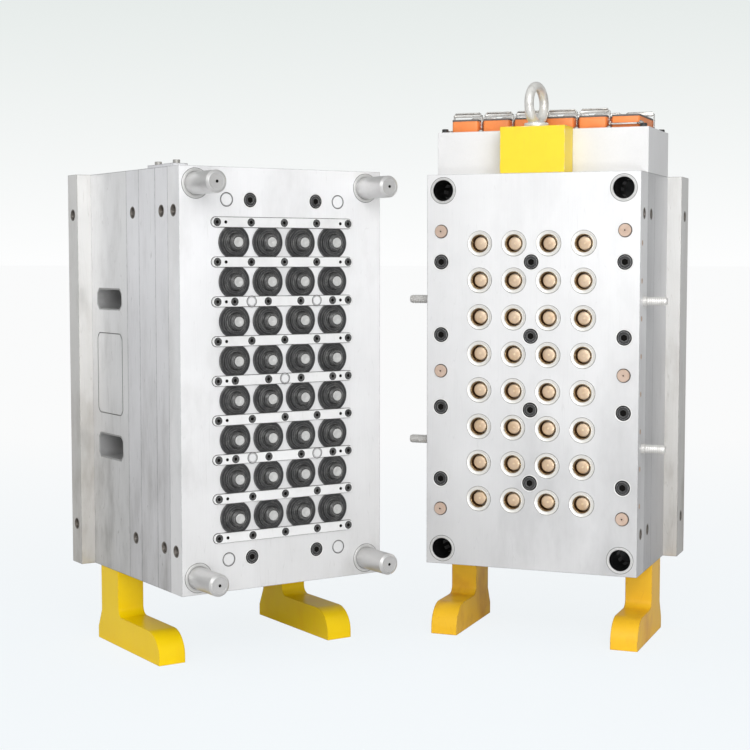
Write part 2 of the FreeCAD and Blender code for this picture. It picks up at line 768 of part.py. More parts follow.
# terminal box on the nozzle and manifold plates
box_depth = f"({FIXED_CLAMP} - {NOZZLE_PLATE})"
terminal_box = new_body("terminal_box")
outline = new_sketch(terminal_box, "box_outline", "XY_Plane", TOP)
add_rectangle(outline, "-Dims.plate_width / 2", NOZZLE_PLATE, "Dims.plate_width / 2", FIXED_CLAMP)
add_pad(terminal_box, outline, "Dims.box_height")
inside = new_sketch(terminal_box, "box_inside", "XY_Plane", TOP)
add_rectangle(
    inside,
    "-Dims.plate_width / 2 + Dims.box_wall",
    f"{NOZZLE_PLATE} + Dims.box_wall",
    "Dims.plate_width / 2 - Dims.box_wall",
    f"{FIXED_CLAMP} - Dims.box_wall",
)
add_pocket(terminal_box, inside, "Dims.box_height - Dims.box_wall", backwards=True)
finish(terminal_box, CAVITY_HALF)

# connector housings in a row on the box, each with its contact insert
connector_front = f"({NOZZLE_PLATE} + ({box_depth} - Dims.connector_length) / 2)"
connector_back = f"({connector_front} + Dims.connector_length)"
CONNECTOR_PLACES = [(f"{number} * Dims.connector_pitch", "0") for number in steps(CONNECTORS)]
housing = new_body("connector_pattern")
outline = new_sketch(housing, "connector_outline", "XY_Plane", BOX_TOP)
add_rectangle(
    outline, "-Dims.connector_width / 2", connector_front, "Dims.connector_width / 2", connector_back,
)
add_pad(housing, outline, "Dims.connector_height")
well = new_sketch(housing, "connector_well", "XY_Plane", f"{BOX_TOP} + Dims.connector_height")
add_rectangle(
    well,
    "-Dims.connector_width / 2 + Dims.connector_wall",
    f"{connector_front} + Dims.connector_wall",
    "Dims.connector_width / 2 - Dims.connector_wall",
    f"{connector_back} - Dims.connector_wall",
)
add_pocket(housing, well, "Dims.connector_height - Dims.connector_floor")
finish_copies("connector_housings", housing, CONNECTOR_PLACES, CAVITY_HALF)

contact_margin = "(Dims.connector_wall + Dims.contact_gap)"
contact_outline = rectangle(
    f"-Dims.connector_width / 2 + {contact_margin}",
    f"{connector_front} + {contact_margin}",
    f"Dims.connector_width / 2 - {contact_margin}",
    f"{connector_back} - {contact_margin}",
)
contacts = new_prism(
    "contact_pattern", [contact_outline], f"{BOX_TOP} + Dims.connector_floor", "Dims.contact_height",
    "XY_Plane",
)
finish_copies("contact_inserts", contacts, CONNECTOR_PLACES, CAVITY_HALF)

# locking levers: a U-shaped strap pivoted on the housing's long sides, up at rest except one
lever_inner = "(Dims.connector_width / 2 + Dims.lever_gap)"
lever_outer = f"({lever_inner} + Dims.lever_thickness)"
CLOSED_LEVER = (CONNECTORS, "front")


def new_lever(name, number, pivot, closed):
    """U-shaped lever, drawn upright in its own body and laid forward when it is closed."""
    body = new_body(name)
    middle = f"{number} * Dims.connector_pitch"
    low = "-Dims.lever_strap_width / 2"
    high = "Dims.lever_arm"
    bar = "Dims.lever_arm - Dims.lever_thickness"
    sketch = new_sketch(body, name + "_outline", "XZ_Plane", "-Dims.lever_strap_width / 2")
    add_polygon(sketch, [
        (f"-{lever_outer}", low),
        (f"-{lever_inner}", low),
        (f"-{lever_inner}", bar),
        (lever_inner, bar),
        (lever_inner, low),
        (lever_outer, low),
        (lever_outer, high),
        (f"-{lever_outer}", high),
    ])
    add_pad(body, sketch, "Dims.lever_strap_width")
    place = FreeCAD.Vector(read(middle), read(pivot), read(BOX_TOP) + size("lever_pivot_height"))
    turn = FreeCAD.Rotation(FreeCAD.Vector(1, 0, 0), 90 if closed else 0)
    finish(body, CAVITY_HALF.multiply(FreeCAD.Placement(place, turn)))


for count, number in enumerate(steps(CONNECTORS), 1):
    for word, pivot in (
        ("front", f"{connector_front} + Dims.lever_pivot_inset"),
        ("back", f"{connector_back} - Dims.lever_pivot_inset"),
    ):
        new_lever(f"locking_lever_{count}_{word}", number, pivot, (count, word) == CLOSED_LEVER)

# lifting block on the cavity plate with a forged eye bolt
block_front = "Dims.lifting_block_inset"
block_depth = "(Dims.cavity_plate_thickness - 2 * Dims.lifting_block_inset)"
lifting_block = new_body("lifting_block")
outline = new_sketch(lifting_block, "lifting_block_outline", "XY_Plane", TOP)
add_rectangle(
    outline,
    "-Dims.lifting_block_width / 2",
    block_front,
    "Dims.lifting_block_width / 2",
    f"{block_front} + {block_depth}",
)
add_pad(lifting_block, outline, "Dims.lifting_block_height")
block_top = f"({TOP} + Dims.lifting_block_height)"
block_middle = "Dims.cavity_plate_thickness / 2"
finish(lifting_block, CAVITY_HALF)

eye_centre = f"({block_top} + Dims.eye_ring_radius + Dims.eye_bar_radius)"
eye_ring = new_body("eye_ring")
sketch = new_sketch(eye_ring, "eye_ring_outline", "YZ_Plane", "-Dims.eye_bar_radius")
for word in ("+", "-"):
    radius = f"(Dims.eye_ring_radius {word} Dims.eye_bar_radius)"
    add_polygon(sketch, round_outline(radius, EYE_SIDES, block_middle, eye_centre))
add_pad(eye_ring, sketch, "2 * Dims.eye_bar_radius")
doc.recompute()
plain_ring = eye_ring.Tip
rims = [
    f"Edge{number}"
    for number, edge in enumerate(eye_ring.Shape.Edges, 1)
    if abs(abs(edge.CenterOfMass.x) - size("eye_bar_radius")) < size("eye_bar_radius") / 2
]
bevel = eye_ring.newObject("PartDesign::Chamfer", "eye_ring_bevel")
bevel.Base = (plain_ring, rims)
bevel.setExpression("Size", "Dims.eye_bar_radius / 2")
eye_collar = new_prism(
    "eye_collar",
    [round_outline("Dims.eye_collar_radius", BORE_SIDES, "0", block_middle)],
    block_top,
    "Dims.eye_collar_height",
    "XY_Plane",
)
eye_bolt = doc.addObject("Part::Fuse", "eye_bolt")
eye_bolt.Base = eye_ring
eye_bolt.Tool = eye_collar
eye_bolt.Label = "eye_bolt"
finish(eye_bolt, CAVITY_HALF)

# water nipples: hose tails on both sides of the cavity plate
for side, word in ((-1, "left"), (1, "right")):
    nipples = new_body(f"water_nipples_{word}")
    sketch = new_sketch(nipples, f"nipple_outline_{word}", "YZ_Plane", f"{side} * Dims.plate_width / 2")
    for end in (-1, 1):
        height = f"{MIDDLE} + {end} * Dims.nipple_offset_z"
        for radius in ("Dims.nipple_radius", "Dims.nipple_bore"):
            add_polygon(sketch, round_outline(radius, BORE_SIDES, "Dims.nipple_y", height))
    add_pad(nipples, sketch, "Dims.nipple_length", backwards=side < 0)
    finish(nipples, CAVITY_HALF)

doc.recompute()
for feature in doc.Objects:
    if "Invalid" in feature.State or "Error" in feature.State:
        raise RuntimeError(f"{feature.Label} did not build")
for node in nodes:
    if node.Shape.isNull() or not node.Shape.isValid():
        raise RuntimeError(f"{node.Label} has no valid shape")
for node in nodes:
    node.Shape.exportStep(f"parts/{node.Label}.step")
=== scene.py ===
from math import pi, radians

import bpy
from mathutils import Matrix, Vector


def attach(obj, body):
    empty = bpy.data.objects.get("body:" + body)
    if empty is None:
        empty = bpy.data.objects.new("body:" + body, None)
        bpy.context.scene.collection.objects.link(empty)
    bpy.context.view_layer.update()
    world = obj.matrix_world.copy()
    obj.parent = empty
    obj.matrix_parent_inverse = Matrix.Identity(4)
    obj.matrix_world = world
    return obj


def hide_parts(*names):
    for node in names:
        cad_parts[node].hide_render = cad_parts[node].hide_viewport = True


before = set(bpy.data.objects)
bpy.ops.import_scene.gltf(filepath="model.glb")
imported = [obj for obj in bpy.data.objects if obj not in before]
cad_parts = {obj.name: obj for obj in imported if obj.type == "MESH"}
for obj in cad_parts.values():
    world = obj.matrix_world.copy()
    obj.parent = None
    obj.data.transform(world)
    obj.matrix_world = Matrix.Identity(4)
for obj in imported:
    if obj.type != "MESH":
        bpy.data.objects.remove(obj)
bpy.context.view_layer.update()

# Plates of the moving half: tool steel plates, milled square and surface ground, so that a fine
# grain runs up the faces. Their edges are broken by hand, and the thin dark line where two plates
# meet is painted shade along those edges. Oil and handling leave soft patches and a few scratches,
# and the plates darken towards the bottom as painted shade.
def new_group(name, inputs, outputs):
    group = bpy.data.node_groups.new(name, "ShaderNodeTree")
    for label, kind, value in inputs:
        socket = group.interface.new_socket(label, in_out="INPUT", socket_type=kind)
        socket.default_value = value
    for label, kind in outputs:
        group.interface.new_socket(label, in_out="OUTPUT", socket_type=kind)
    return group, group.nodes.new("NodeGroupInput"), group.nodes.new("NodeGroupOutput")


def new_noise(group, scale, detail, roughness):
    noise = group.nodes.new("ShaderNodeTexNoise")
    noise.inputs["Scale"].default_value = scale
    noise.inputs["Detail"].default_value = detail
    noise.inputs["Roughness"].default_value = roughness
    return noise


def new_range(group, low, high, to_low=0.0, to_high=1.0):
    spread = group.nodes.new("ShaderNodeMapRange")
    spread.inputs["From Min"].default_value = low
    spread.inputs["From Max"].default_value = high
    spread.inputs["To Min"].default_value = to_low
    spread.inputs["To Max"].default_value = to_high
    return spread


def new_vector_math(group, operation):
    node = group.nodes.new("ShaderNodeVectorMath")
    node.operation = operation
    return node


# Grain: fine streaks drawn out along one direction, and broad soft patches from handling.
grain, given, result = new_group(
    "surface_grain",
    [("Stretch", "NodeSocketVector", (900, 900, 12)), ("Patches", "NodeSocketFloat", 6.0)],
    [("Streaks", "NodeSocketFloat"), ("Patch", "NodeSocketFloat")],
)
place = grain.nodes.new("ShaderNodeTexCoord")
drawn = new_vector_math(grain, "MULTIPLY")
streaks = new_noise(grain, 1.0, 5.0, 0.7)
patch = new_noise(grain, 6.0, 4.0, 0.6)
grain.links.new(place.outputs["Object"], drawn.inputs[0])
grain.links.new(given.outputs["Stretch"], drawn.inputs[1])
grain.links.new(drawn.outputs["Vector"], streaks.inputs["Vector"])
grain.links.new(place.outputs["Object"], patch.inputs["Vector"])
grain.links.new(given.outputs["Patches"], patch.inputs["Scale"])
grain.links.new(streaks.outputs["Fac"], result.inputs["Streaks"])
grain.links.new(patch.outputs["Fac"], result.inputs["Patch"])

# Edges: where the rounded normal leaves the flat one, broken up by noise so that wear is uneven.
# By material, the colour set at these edges is real wear, painted seam shade or a painted highlight.
edges, given, result = new_group(
    "edge_wear_shade_and_sheen",
    [("Width", "NodeSocketFloat", 0.0015), ("Break", "NodeSocketFloat", 0.4)],
    [("Edge", "NodeSocketFloat"), ("Normal", "NodeSocketVector")],
)
rounded = edges.nodes.new("ShaderNodeBevel")
rounded.samples = 6
flat = edges.nodes.new("ShaderNodeNewGeometry")
agree = new_vector_math(edges, "DOT_PRODUCT")
spread = new_range(edges, 0.995, 0.85)
spots = new_noise(edges, 90.0, 6.0, 0.5)
place = edges.nodes.new("ShaderNodeTexCoord")
limit = new_range(edges, 0.4, 0.62)
cover = edges.nodes.new("ShaderNodeMath")
cover.operation = "MULTIPLY"
edges.links.new(given.outputs["Width"], rounded.inputs["Radius"])
edges.links.new(rounded.outputs["Normal"], agree.inputs[0])
edges.links.new(flat.outputs["True Normal"], agree.inputs[1])
edges.links.new(agree.outputs["Value"], spread.inputs["Value"])
edges.links.new(place.outputs["Object"], spots.inputs["Vector"])
edges.links.new(spots.outputs["Fac"], limit.inputs["Value"])
edges.links.new(given.outputs["Break"], limit.inputs["From Min"])
edges.links.new(spread.outputs["Result"], cover.inputs[0])
edges.links.new(limit.outputs["Result"], cover.inputs[1])
edges.links.new(cover.outputs["Value"], result.inputs["Edge"])
edges.links.new(rounded.outputs["Normal"], result.inputs["Normal"])

# Marks: stains that run in one direction, hair-thin upright scratches where a noise crosses its
# middle, and a blotchy painted shade that darkens the surface towards the bottom.
marks_and_shade, given, result = new_group(
    "marks_and_low_shade",
    [
        ("Stretch", "NodeSocketVector", (9, 9, 2)), ("Stain", "NodeSocketFloat", 0.4),
        ("Scratch", "NodeSocketFloat", 0.2), ("PaintedShadeLow", "NodeSocketFloat", 0.0),
    ],
    [("MarksAndShade", "NodeSocketFloat")],
)
place = marks_and_shade.nodes.new("ShaderNodeTexCoord")
drawn = new_vector_math(marks_and_shade, "MULTIPLY")
smear = new_noise(marks_and_shade, 1.0, 7.0, 0.62)
dirty = new_range(marks_and_shade, 0.5, 0.78)
upright = new_vector_math(marks_and_shade, "MULTIPLY")
upright.inputs[1].default_value = (45, 45, 2.5)
hairs = new_noise(marks_and_shade, 1.0, 2.0, 0.4)
fine = marks_and_shade.nodes.new("ShaderNodeMath")
fine.operation = "PINGPONG"
fine.inputs[1].default_value = 0.04
thin = new_range(marks_and_shade, 0.0022, 0.0)
# Painted shade: darker towards the bottom, broken up by the stain noise.
height = marks_and_shade.nodes.new("ShaderNodeSeparateXYZ")
lower = new_range(marks_and_shade, 0.66, 0.12)
cloudy = new_range(marks_and_shade, 0.3, 0.7, 0.55, 1.0)
painted_low_shade = marks_and_shade.nodes.new("ShaderNodeMath")
painted_low_shade.operation = "MULTIPLY"
parts = []
for source, amount in (
    (dirty.outputs["Result"], "Stain"), (thin.outputs["Result"], "Scratch"),
    (painted_low_shade.outputs["Value"], "PaintedShadeLow"),
):
    share = marks_and_shade.nodes.new("ShaderNodeMath")
    share.operation = "MULTIPLY"
    marks_and_shade.links.new(source, share.inputs[0])
    marks_and_shade.links.new(given.outputs[amount], share.inputs[1])
    parts.append(share)
either = marks_and_shade.nodes.new("ShaderNodeMath")
either.operation = "MAXIMUM"
total = marks_and_shade.nodes.new("ShaderNodeMath")
total.operation = "ADD"
total.use_clamp = True
marks_and_shade.links.new(place.outputs["Object"], drawn.inputs[0])
marks_and_shade.links.new(given.outputs["Stretch"], drawn.inputs[1])
marks_and_shade.links.new(drawn.outputs["Vector"], smear.inputs["Vector"])
marks_and_shade.links.new(smear.outputs["Fac"], dirty.inputs["Value"])
marks_and_shade.links.new(place.outputs["Object"], upright.inputs[0])
marks_and_shade.links.new(upright.outputs["Vector"], hairs.inputs["Vector"])
marks_and_shade.links.new(hairs.outputs["Fac"], fine.inputs[0])
marks_and_shade.links.new(fine.outputs["Value"], thin.inputs["Value"])
marks_and_shade.links.new(parts[0].outputs["Value"], either.inputs[0])
marks_and_shade.links.new(parts[1].outputs["Value"], either.inputs[1])
marks_and_shade.links.new(place.outputs["Object"], height.inputs["Vector"])
marks_and_shade.links.new(height.outputs["Z"], lower.inputs["Value"])
marks_and_shade.links.new(smear.outputs["Fac"], cloudy.inputs["Value"])
marks_and_shade.links.new(lower.outputs["Result"], painted_low_shade.inputs[0])
marks_and_shade.links.new(cloudy.outputs["Result"], painted_low_shade.inputs[1])
marks_and_shade.links.new(either.outputs["Value"], total.inputs[0])
marks_and_shade.links.new(parts[2].outputs["Value"], total.inputs[1])
marks_and_shade.links.new(total.outputs["Value"], result.inputs["MarksAndShade"])


def new_material(
    name, color, edge_wear_and_light_colour, metallic, roughness, stretch=(500, 500, 500), edge=(0.0006, 0.3), bump=0.1,
    stain=0.0, scratch=0.0, smear=(9, 9, 2), stain_and_shade_colour=(0.3, 0.28, 0.25), low=0.0, gloss=0.5,
):
    """Grained surface whose colour shifts with its patches and takes stains. Its edges turn to the edge
    colour, which is wear on some materials and painted seam shade or highlight on others, and low
    darkens it towards the bottom as painted shade."""
    material = bpy.data.materials.new(name)
    material.use_nodes = True
    nodes = material.node_tree.nodes
    links = material.node_tree.links
    shader = nodes["Principled BSDF"]
    shader.inputs["Metallic"].default_value = metallic
    shader.inputs["Specular IOR Level"].default_value = gloss
    surface = nodes.new("ShaderNodeGroup")
    surface.node_tree = grain
    surface.inputs["Stretch"].default_value = stretch
    edge_wear_and_light = nodes.new("ShaderNodeGroup")
    edge_wear_and_light.node_tree = edges
    edge_wear_and_light.inputs["Width"].default_value = edge[0]
    edge_wear_and_light.inputs["Break"].default_value = edge[1]
    marked_and_shaded = nodes.new("ShaderNodeGroup")
    marked_and_shaded.node_tree = marks_and_shade
    marked_and_shaded.inputs["Stretch"].default_value = smear
    marked_and_shaded.inputs["Stain"].default_value = stain
    marked_and_shaded.inputs["Scratch"].default_value = scratch
    marked_and_shaded.inputs["PaintedShadeLow"].default_value = low
    mixes = []
    for first, second in (
        ([value * 0.87 for value in color], [min(value * 1.1, 0.98) for value in color]),
        (color, stain_and_shade_colour),
        (color, edge_wear_and_light_colour),
    ):
        mix = nodes.new("ShaderNodeMix")
        mix.data_type = "RGBA"
        mix.inputs[6].default_value = (*first, 1)
        mix.inputs[7].default_value = (*second, 1)
        mixes.append(mix)
    tone, stained_and_shaded, ends = mixes
    both = nodes.new("ShaderNodeMath")
    both.operation = "MULTIPLY_ADD"
    both.inputs[1].default_value = 0.35
    height = nodes.new("ShaderNodeBump")
    height.inputs["Strength"].default_value = bump
    height.inputs["Distance"].default_value = 0.0004
    rough = new_range(material.node_tree, 0.0, 1.0, roughness * 0.8, min(roughness * 1.25, 1))
    links.new(surface.outputs["Streaks"], both.inputs[0])
    links.new(surface.outputs["Patch"], both.inputs[2])
    links.new(both.outputs["Value"], tone.inputs[0])
    links.new(tone.outputs[2], stained_and_shaded.inputs[6])
    links.new(marked_and_shaded.outputs["MarksAndShade"], stained_and_shaded.inputs[0])
    links.new(stained_and_shaded.outputs[2], ends.inputs[6])
    links.new(edge_wear_and_light.outputs["Edge"], ends.inputs[0])
    links.new(ends.outputs[2], shader.inputs["Base Color"])
    links.new(surface.outputs["Streaks"], rough.inputs["Value"])
    links.new(rough.outputs["Result"], shader.inputs["Roughness"])
    links.new(surface.outputs["Streaks"], height.inputs["Height"])
    links.new(edge_wear_and_light.outputs["Normal"], height.inputs["Normal"])
    links.new(height.outputs["Normal"], shader.inputs["Normal"])
    return material


def dress(material, *names):
    """Give CAD nodes that keep their shape their surface."""
    for name in names:
        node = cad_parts[name]
        node.data.materials.clear()
        node.data.materials.append(material)


CORE_HALF = Matrix.Translation((-0.0629, -0.176, 0)) @ Matrix.Rotation(radians(55), 4, "Z")
MIDDLE = 0.448
PLATE_SIDE = 0.178
CLAMP_SIDE = 0.202
UPRIGHT = (700, 700, 9)
# These steels darken at their edges as painted seam shade, and all but the inner steel darken towards the
# bottom by their last number as painted shade.
face_steel = new_material(
    "face_steel", (0.88, 0.88, 0.89), (0.30, 0.30, 0.31), 0.3, 0.42, UPRIGHT, (0.0016, 0.0), 0.1,
    0.42, 0.15, (7, 7, 3), (0.44, 0.435, 0.42), 0.5,
)
plate_steel = new_material(
    "plate_steel", (0.86, 0.86, 0.88), (0.2, 0.2, 0.21), 0.35, 0.4, UPRIGHT, (0.0026, 0.0), 0.14,
    0.24, 0.3, (22, 22, 5), (0.25, 0.24, 0.23), 0.72,
)
spacer_steel = new_material(
    "spacer_steel", (0.85, 0.85, 0.855), (0.2, 0.2, 0.2), 0.35, 0.34, UPRIGHT, (0.0026, 0.0), 0.1,
    0.3, 0.3, (16, 16, 6), (0.23, 0.225, 0.21), 0.72,
)
clamp_steel = new_material(
    "clamp_steel", (0.75, 0.745, 0.73), (0.26, 0.24, 0.22), 0.35, 0.42, UPRIGHT, (0.002, 0.0), 0.16,
    0.35, 0.25, (18, 18, 6), (0.3, 0.27, 0.23), 0.6,
)
inner_steel = new_material(
    "inner_steel", (0.5, 0.5, 0.51), (0.35, 0.35, 0.35), 0.6, 0.45, UPRIGHT, (0.001, 0.1), 0.15, 0.4, 0.1,
)
dress(clamp_steel, "core_clamp_plate")
dress(spacer_steel, "spacer_block_left", "spacer_block_right", "spacer_cover_left", "spacer_cover_right")
dress(plate_steel, "core_plate", "cooling_plate", "support_plate", "core_plate_strap")
dress(inner_steel, "ejector_retainer_plate", "ejector_plate", "stop_rails")

# Cover joints: each spacer block has a flush cover screwed into its outer side. Round it runs a
# hairline of painted shadow in the joint gap, built as a thin flat frame.
def flat_frame(name, width, height, corner, rim, thick):
    """Frame with rounded corners, lying on z = 0: a plane with rounded corners, inset, opened
    and thickened."""
    bpy.ops.mesh.primitive_plane_add(size=1)
    piece = bpy.context.object
    piece.name = name
    piece.scale = (width, height, 1)
    bpy.ops.object.transform_apply(location=False, rotation=False, scale=True)
    bpy.ops.object.mode_set(mode="EDIT")
    bpy.ops.mesh.select_all(action="SELECT")
    bpy.ops.mesh.bevel(offset=corner, segments=6, affect="VERTICES")
    bpy.ops.mesh.select_all(action="SELECT")
    bpy.ops.mesh.inset(thickness=rim)
    bpy.ops.mesh.delete(type="FACE")
    bpy.ops.object.mode_set(mode="OBJECT")
    wall = piece.modifiers.new("wall", "SOLIDIFY")
    wall.thickness = thick
    wall.offset = 1
    bpy.ops.object.modifier_apply(modifier="wall")
    return piece


def stand(piece, half, places, material, body, face=Matrix.Identity(4), replaced=()):
    """Copy a piece to its places in a half as one mesh, then give it its surface and its body."""
    bpy.ops.object.select_all(action="DESELECT")
    copies = []
    for place in places:
        copy = piece.copy()
        copy.data = piece.data.copy()
        bpy.context.collection.objects.link(copy)
        copy.data.transform(half @ Matrix.Translation(place) @ face)
        copy.select_set(True)
        copies.append(copy)
    name = piece.name
    bpy.data.objects.remove(piece)
    bpy.context.view_layer.objects.active = copies[0]
    if len(copies) > 1:
        bpy.ops.object.join()
    whole = bpy.context.object
    whole.name = name
    whole.data.materials.clear()
    whole.data.materials.append(material)
    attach(whole, body)
    if replaced:
        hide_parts(*replaced)
    return whole


SIDE_TURN = {side: Matrix.Rotation(side * radians(90), 4, "Y") for side in (-1, 1)}
SIDES = ((-1, "left"), (1, "right"))
SPACER_DEPTH = 0.256
# Painted gap shadow: near-black hairlines that stand for the shade in joint gaps.
painted_gap_shadow = new_material("painted_gap_shadow", (0.03, 0.027, 0.024), (0.08, 0.07, 0.06), 0.0, 0.5, bump=0.2)
for side, word in SIDES:
    joint = flat_frame(f"cover_joint_{word}", 0.1322, 0.0972, 0.0115, 0.0008, 0.00015)
    stand(
        joint, CORE_HALF, [(side * PLATE_SIDE, SPACER_DEPTH, 0.447)], painted_gap_shadow, "mould",
        SIDE_TURN[side],
    )

# Window walls: the milled windows in the spacer blocks, for slings and hoses, are darker inside as
# painted shade, with a few stains. Thin walls line them.
window_shade = new_material(
    "window_shade", (0.42, 0.42, 0.42), (0.4, 0.4, 0.4), 0.3, 0.4, edge=(0.001, 0.3), stain=0.6,
    smear=(30, 30, 30), stain_and_shade_colour=(0.24, 0.23, 0.22),
)
for side, word in SIDES:
    for level, rise, height in (("upper", 0.120, 0.0332), ("lower", -0.120, 0.0392)):
        wall = flat_frame(f"window_wall_{word}_{level}", height, 0.0952, 0.0125, 0.0012, 0.05)
        stand(
            wall, CORE_HALF, [(side * 0.1278, SPACER_DEPTH, MIDDLE + rise)], window_shade, "mould",
            SIDE_TURN[side],
        )

# Lifting threads: round tapped holes in the sides of the plates, for eye bolts. They are dark with
# oil and rubbed bright at the mouth and the crests. A threaded liner lies in each hole.
SMOOTH_ANGLE = radians(35)


def turned(name, outline, sides=48):
    """Lathe work along z: a disc or, where the outline closes on itself, a ring, raised from one
    radius and height to the next."""
    fill = "NOTHING" if outline[0] == outline[-1] else "NGON"
    radius, height = outline[0]
    bpy.ops.mesh.primitive_circle_add(vertices=sides, radius=radius, fill_type=fill)
    piece = bpy.context.object
    piece.name = name
    bpy.ops.object.mode_set(mode="EDIT")
    bpy.ops.mesh.select_all(action="SELECT")
    bpy.ops.transform.translate(value=(0, 0, height))
    for wider, higher in outline[1:]:
        bpy.ops.mesh.extrude_region_move(TRANSFORM_OT_translate={"value": (0, 0, higher - height)})
        bpy.ops.transform.resize(value=(wider / radius, wider / radius, 1), center_override=(0, 0, 0))
        radius, height = wider, higher
    bpy.ops.mesh.select_all(action="SELECT")
    bpy.ops.mesh.remove_doubles(threshold=0.000002)
    bpy.ops.mesh.normals_make_consistent(inside=False)
    bpy.ops.object.mode_set(mode="OBJECT")
    bpy.ops.object.shade_smooth_by_angle(angle=SMOOTH_ANGLE)
    return piece


thread = [(0.0083, -0.0002), (0.0095, 0.0), (0.0093, 0.0002), (0.0082, 0.0002), (0.0076, -0.0006)]
for turn in range(9):
    start = -0.0014 - turn * 0.0024
    thread += [(0.0081, start), (0.0075, start - 0.0012)]
thread += [(0.0075, -0.0225), (0.0083, -0.0225), (0.0083, -0.0002)]
thread_steel = new_material(
    "thread_steel", (0.16, 0.145, 0.13), (0.55, 0.53, 0.5), 0.6, 0.35, edge=(0.0005, 0.1), stain=0.5,
    smear=(60, 60, 60), stain_and_shade_colour=(0.12, 0.08, 0.045),
)
THREAD_RISES = (-0.257, 0.257)
for side, word in SIDES:
    for label, body, depths in (
        ("stripper", "ejection", [(0.019, PLATE_SIDE)]),
        ("core_half", "mould", [(0.06, PLATE_SIDE), (0.163, PLATE_SIDE), (0.345, CLAMP_SIDE)]),
    ):
        liner = turned(f"{label}_threads_{word}", thread, 24)
        stand(
            liner, CORE_HALF,
            [(side * reach, depth, MIDDLE + z) for depth, reach in depths for z in THREAD_RISES],
            thread_steel, body, SIDE_TURN[side],
        )

# Moving clamp screws: black socket head cap screws, sunk in the back of the moving clamp plate.
# A turned head with a chamfer and a six-sided socket sits in a shadowed counterbore.
def hexagon_socket(piece, radius, depth, front):
    """Six-sided socket for a driver, cut into the front of a turned screw head."""
    bpy.ops.mesh.primitive_cylinder_add(
        vertices=6, radius=radius, depth=2 * depth, location=(0, 0, front),
    )
    tool = bpy.context.object
    bpy.context.view_layer.objects.active = piece
    cut = piece.modifiers.new("socket", "BOOLEAN")
    cut.operation = "DIFFERENCE"
    cut.object = tool
    bpy.ops.object.modifier_apply(modifier="socket")
    bpy.data.objects.remove(tool)


# Black screw steel: its edges turn light grey, a painted highlight on the head's chamfer.
black_screw = new_material(
    "black_screw", (0.03, 0.03, 0.031), (0.34, 0.34, 0.33), 0.3, 0.45, edge=(0.0009, 0.2), bump=0.15,
)
shadow = new_material(
    "counterbore_shadow", (0.006, 0.0055, 0.005), (0.015, 0.014, 0.012), 0.0, 0.8, bump=0.2, gloss=0.08,
)
bright_steel = new_material("bright_steel", (0.86, 0.855, 0.84), (0.9, 0.9, 0.9), 0.3, 0.35, bump=0.05)
LARGE_HEAD = 0.008


def socket_screws(name, head, half, places, body, face, front=0.0):
    """Socket screws with heads of a given radius: the counterbore and the sockets' floors in painted
    shadow, the heads with light edges as a painted highlight and, round the large ones, a bright chamfer."""
    well = turned(f"{name}_wells", [
        (head * 1.03, front), (head * 1.24, front), (head * 1.22, front + 0.0002),
        (head * 1.03, front + 0.0002), (head * 1.03, front),
    ], 32)
    stand(well, half, places, shadow, body, face)
    top = front + head * 0.09
    screw = turned(name, [
        (head, front), (head, front + head * 0.02), (head * 0.86, top), (head * 0.7, top),
        (head * 0.66, top - 0.0002),
    ], 32)
    hexagon_socket(screw, head * 0.6, head * 0.07, top)
    stand(screw, half, places, black_screw, body, face)
    floor = turned(f"{name}_sockets", [
        (head * 0.58, front + 0.00004), (head * 0.58, front + head * 0.035),
        (head * 0.3, front + head * 0.03),
    ], 6)
    stand(floor, half, places, shadow, body, face)
    if head > LARGE_HEAD:
        rim = turned(f"{name}_rims", [
            (head * 1.24, front), (head * 1.42, front), (head * 1.36, front + 0.0004),
            (head * 1.25, front + 0.0002), (head * 1.24, front),
        ], 40)
        stand(rim, half, places, bright_steel, body, face)


FACE_TURN = Matrix.Rotation(radians(90), 4, "X")
BACK_TURN = Matrix.Rotation(radians(-90), 4, "X")
CLAMP_SCREWS = [(x, MIDDLE + z) for x in (-0.145, 0.145) for z in (-0.27, -0.09, 0.09, 0.27)]
socket_screws(
    "moving_clamp_screws", 0.012, CORE_HALF, [(x, 0.364, z) for x, z in CLAMP_SCREWS], "mould", BACK_TURN,
)

# Strap screws: two steel cap screws stand on the strap that ties the fixed core plates together
# on top, so that they can't part while the mould is lifted.
strap_screw = turned("strap_screws", [
    (0.0052, 0.0), (0.0056, 0.0004), (0.0056, 0.0052), (0.0050, 0.0058), (0.0032, 0.0058), (0.0029, 0.0038),
], 28)
cap_steel = new_material("cap_steel", (0.42, 0.41, 0.39), (0.7, 0.68, 0.64), 0.6, 0.35, edge=(0.0006, 0.2))
stand(
    strap_screw, CORE_HALF, [(-0.138, y, 0.779) for y in (0.088, 0.152)], cap_steel, "mould",
)

# Feet of the moving half: flame-cut steel painted yellow by hand, the paint rubbed dull and
# chipped along the edges.
yellow_paint = new_material(
    "yellow_paint", (0.97, 0.63, 0.0), (0.7, 0.4, 0.03), 0.0, 0.3, (60, 60, 60), (0.002, 0.45), 0.15,
    0.5, 0.2, (14, 14, 6), (0.85, 0.44, 0.0), 0.0, 0.3,
)
dress(yellow_paint, "core_half_feet")

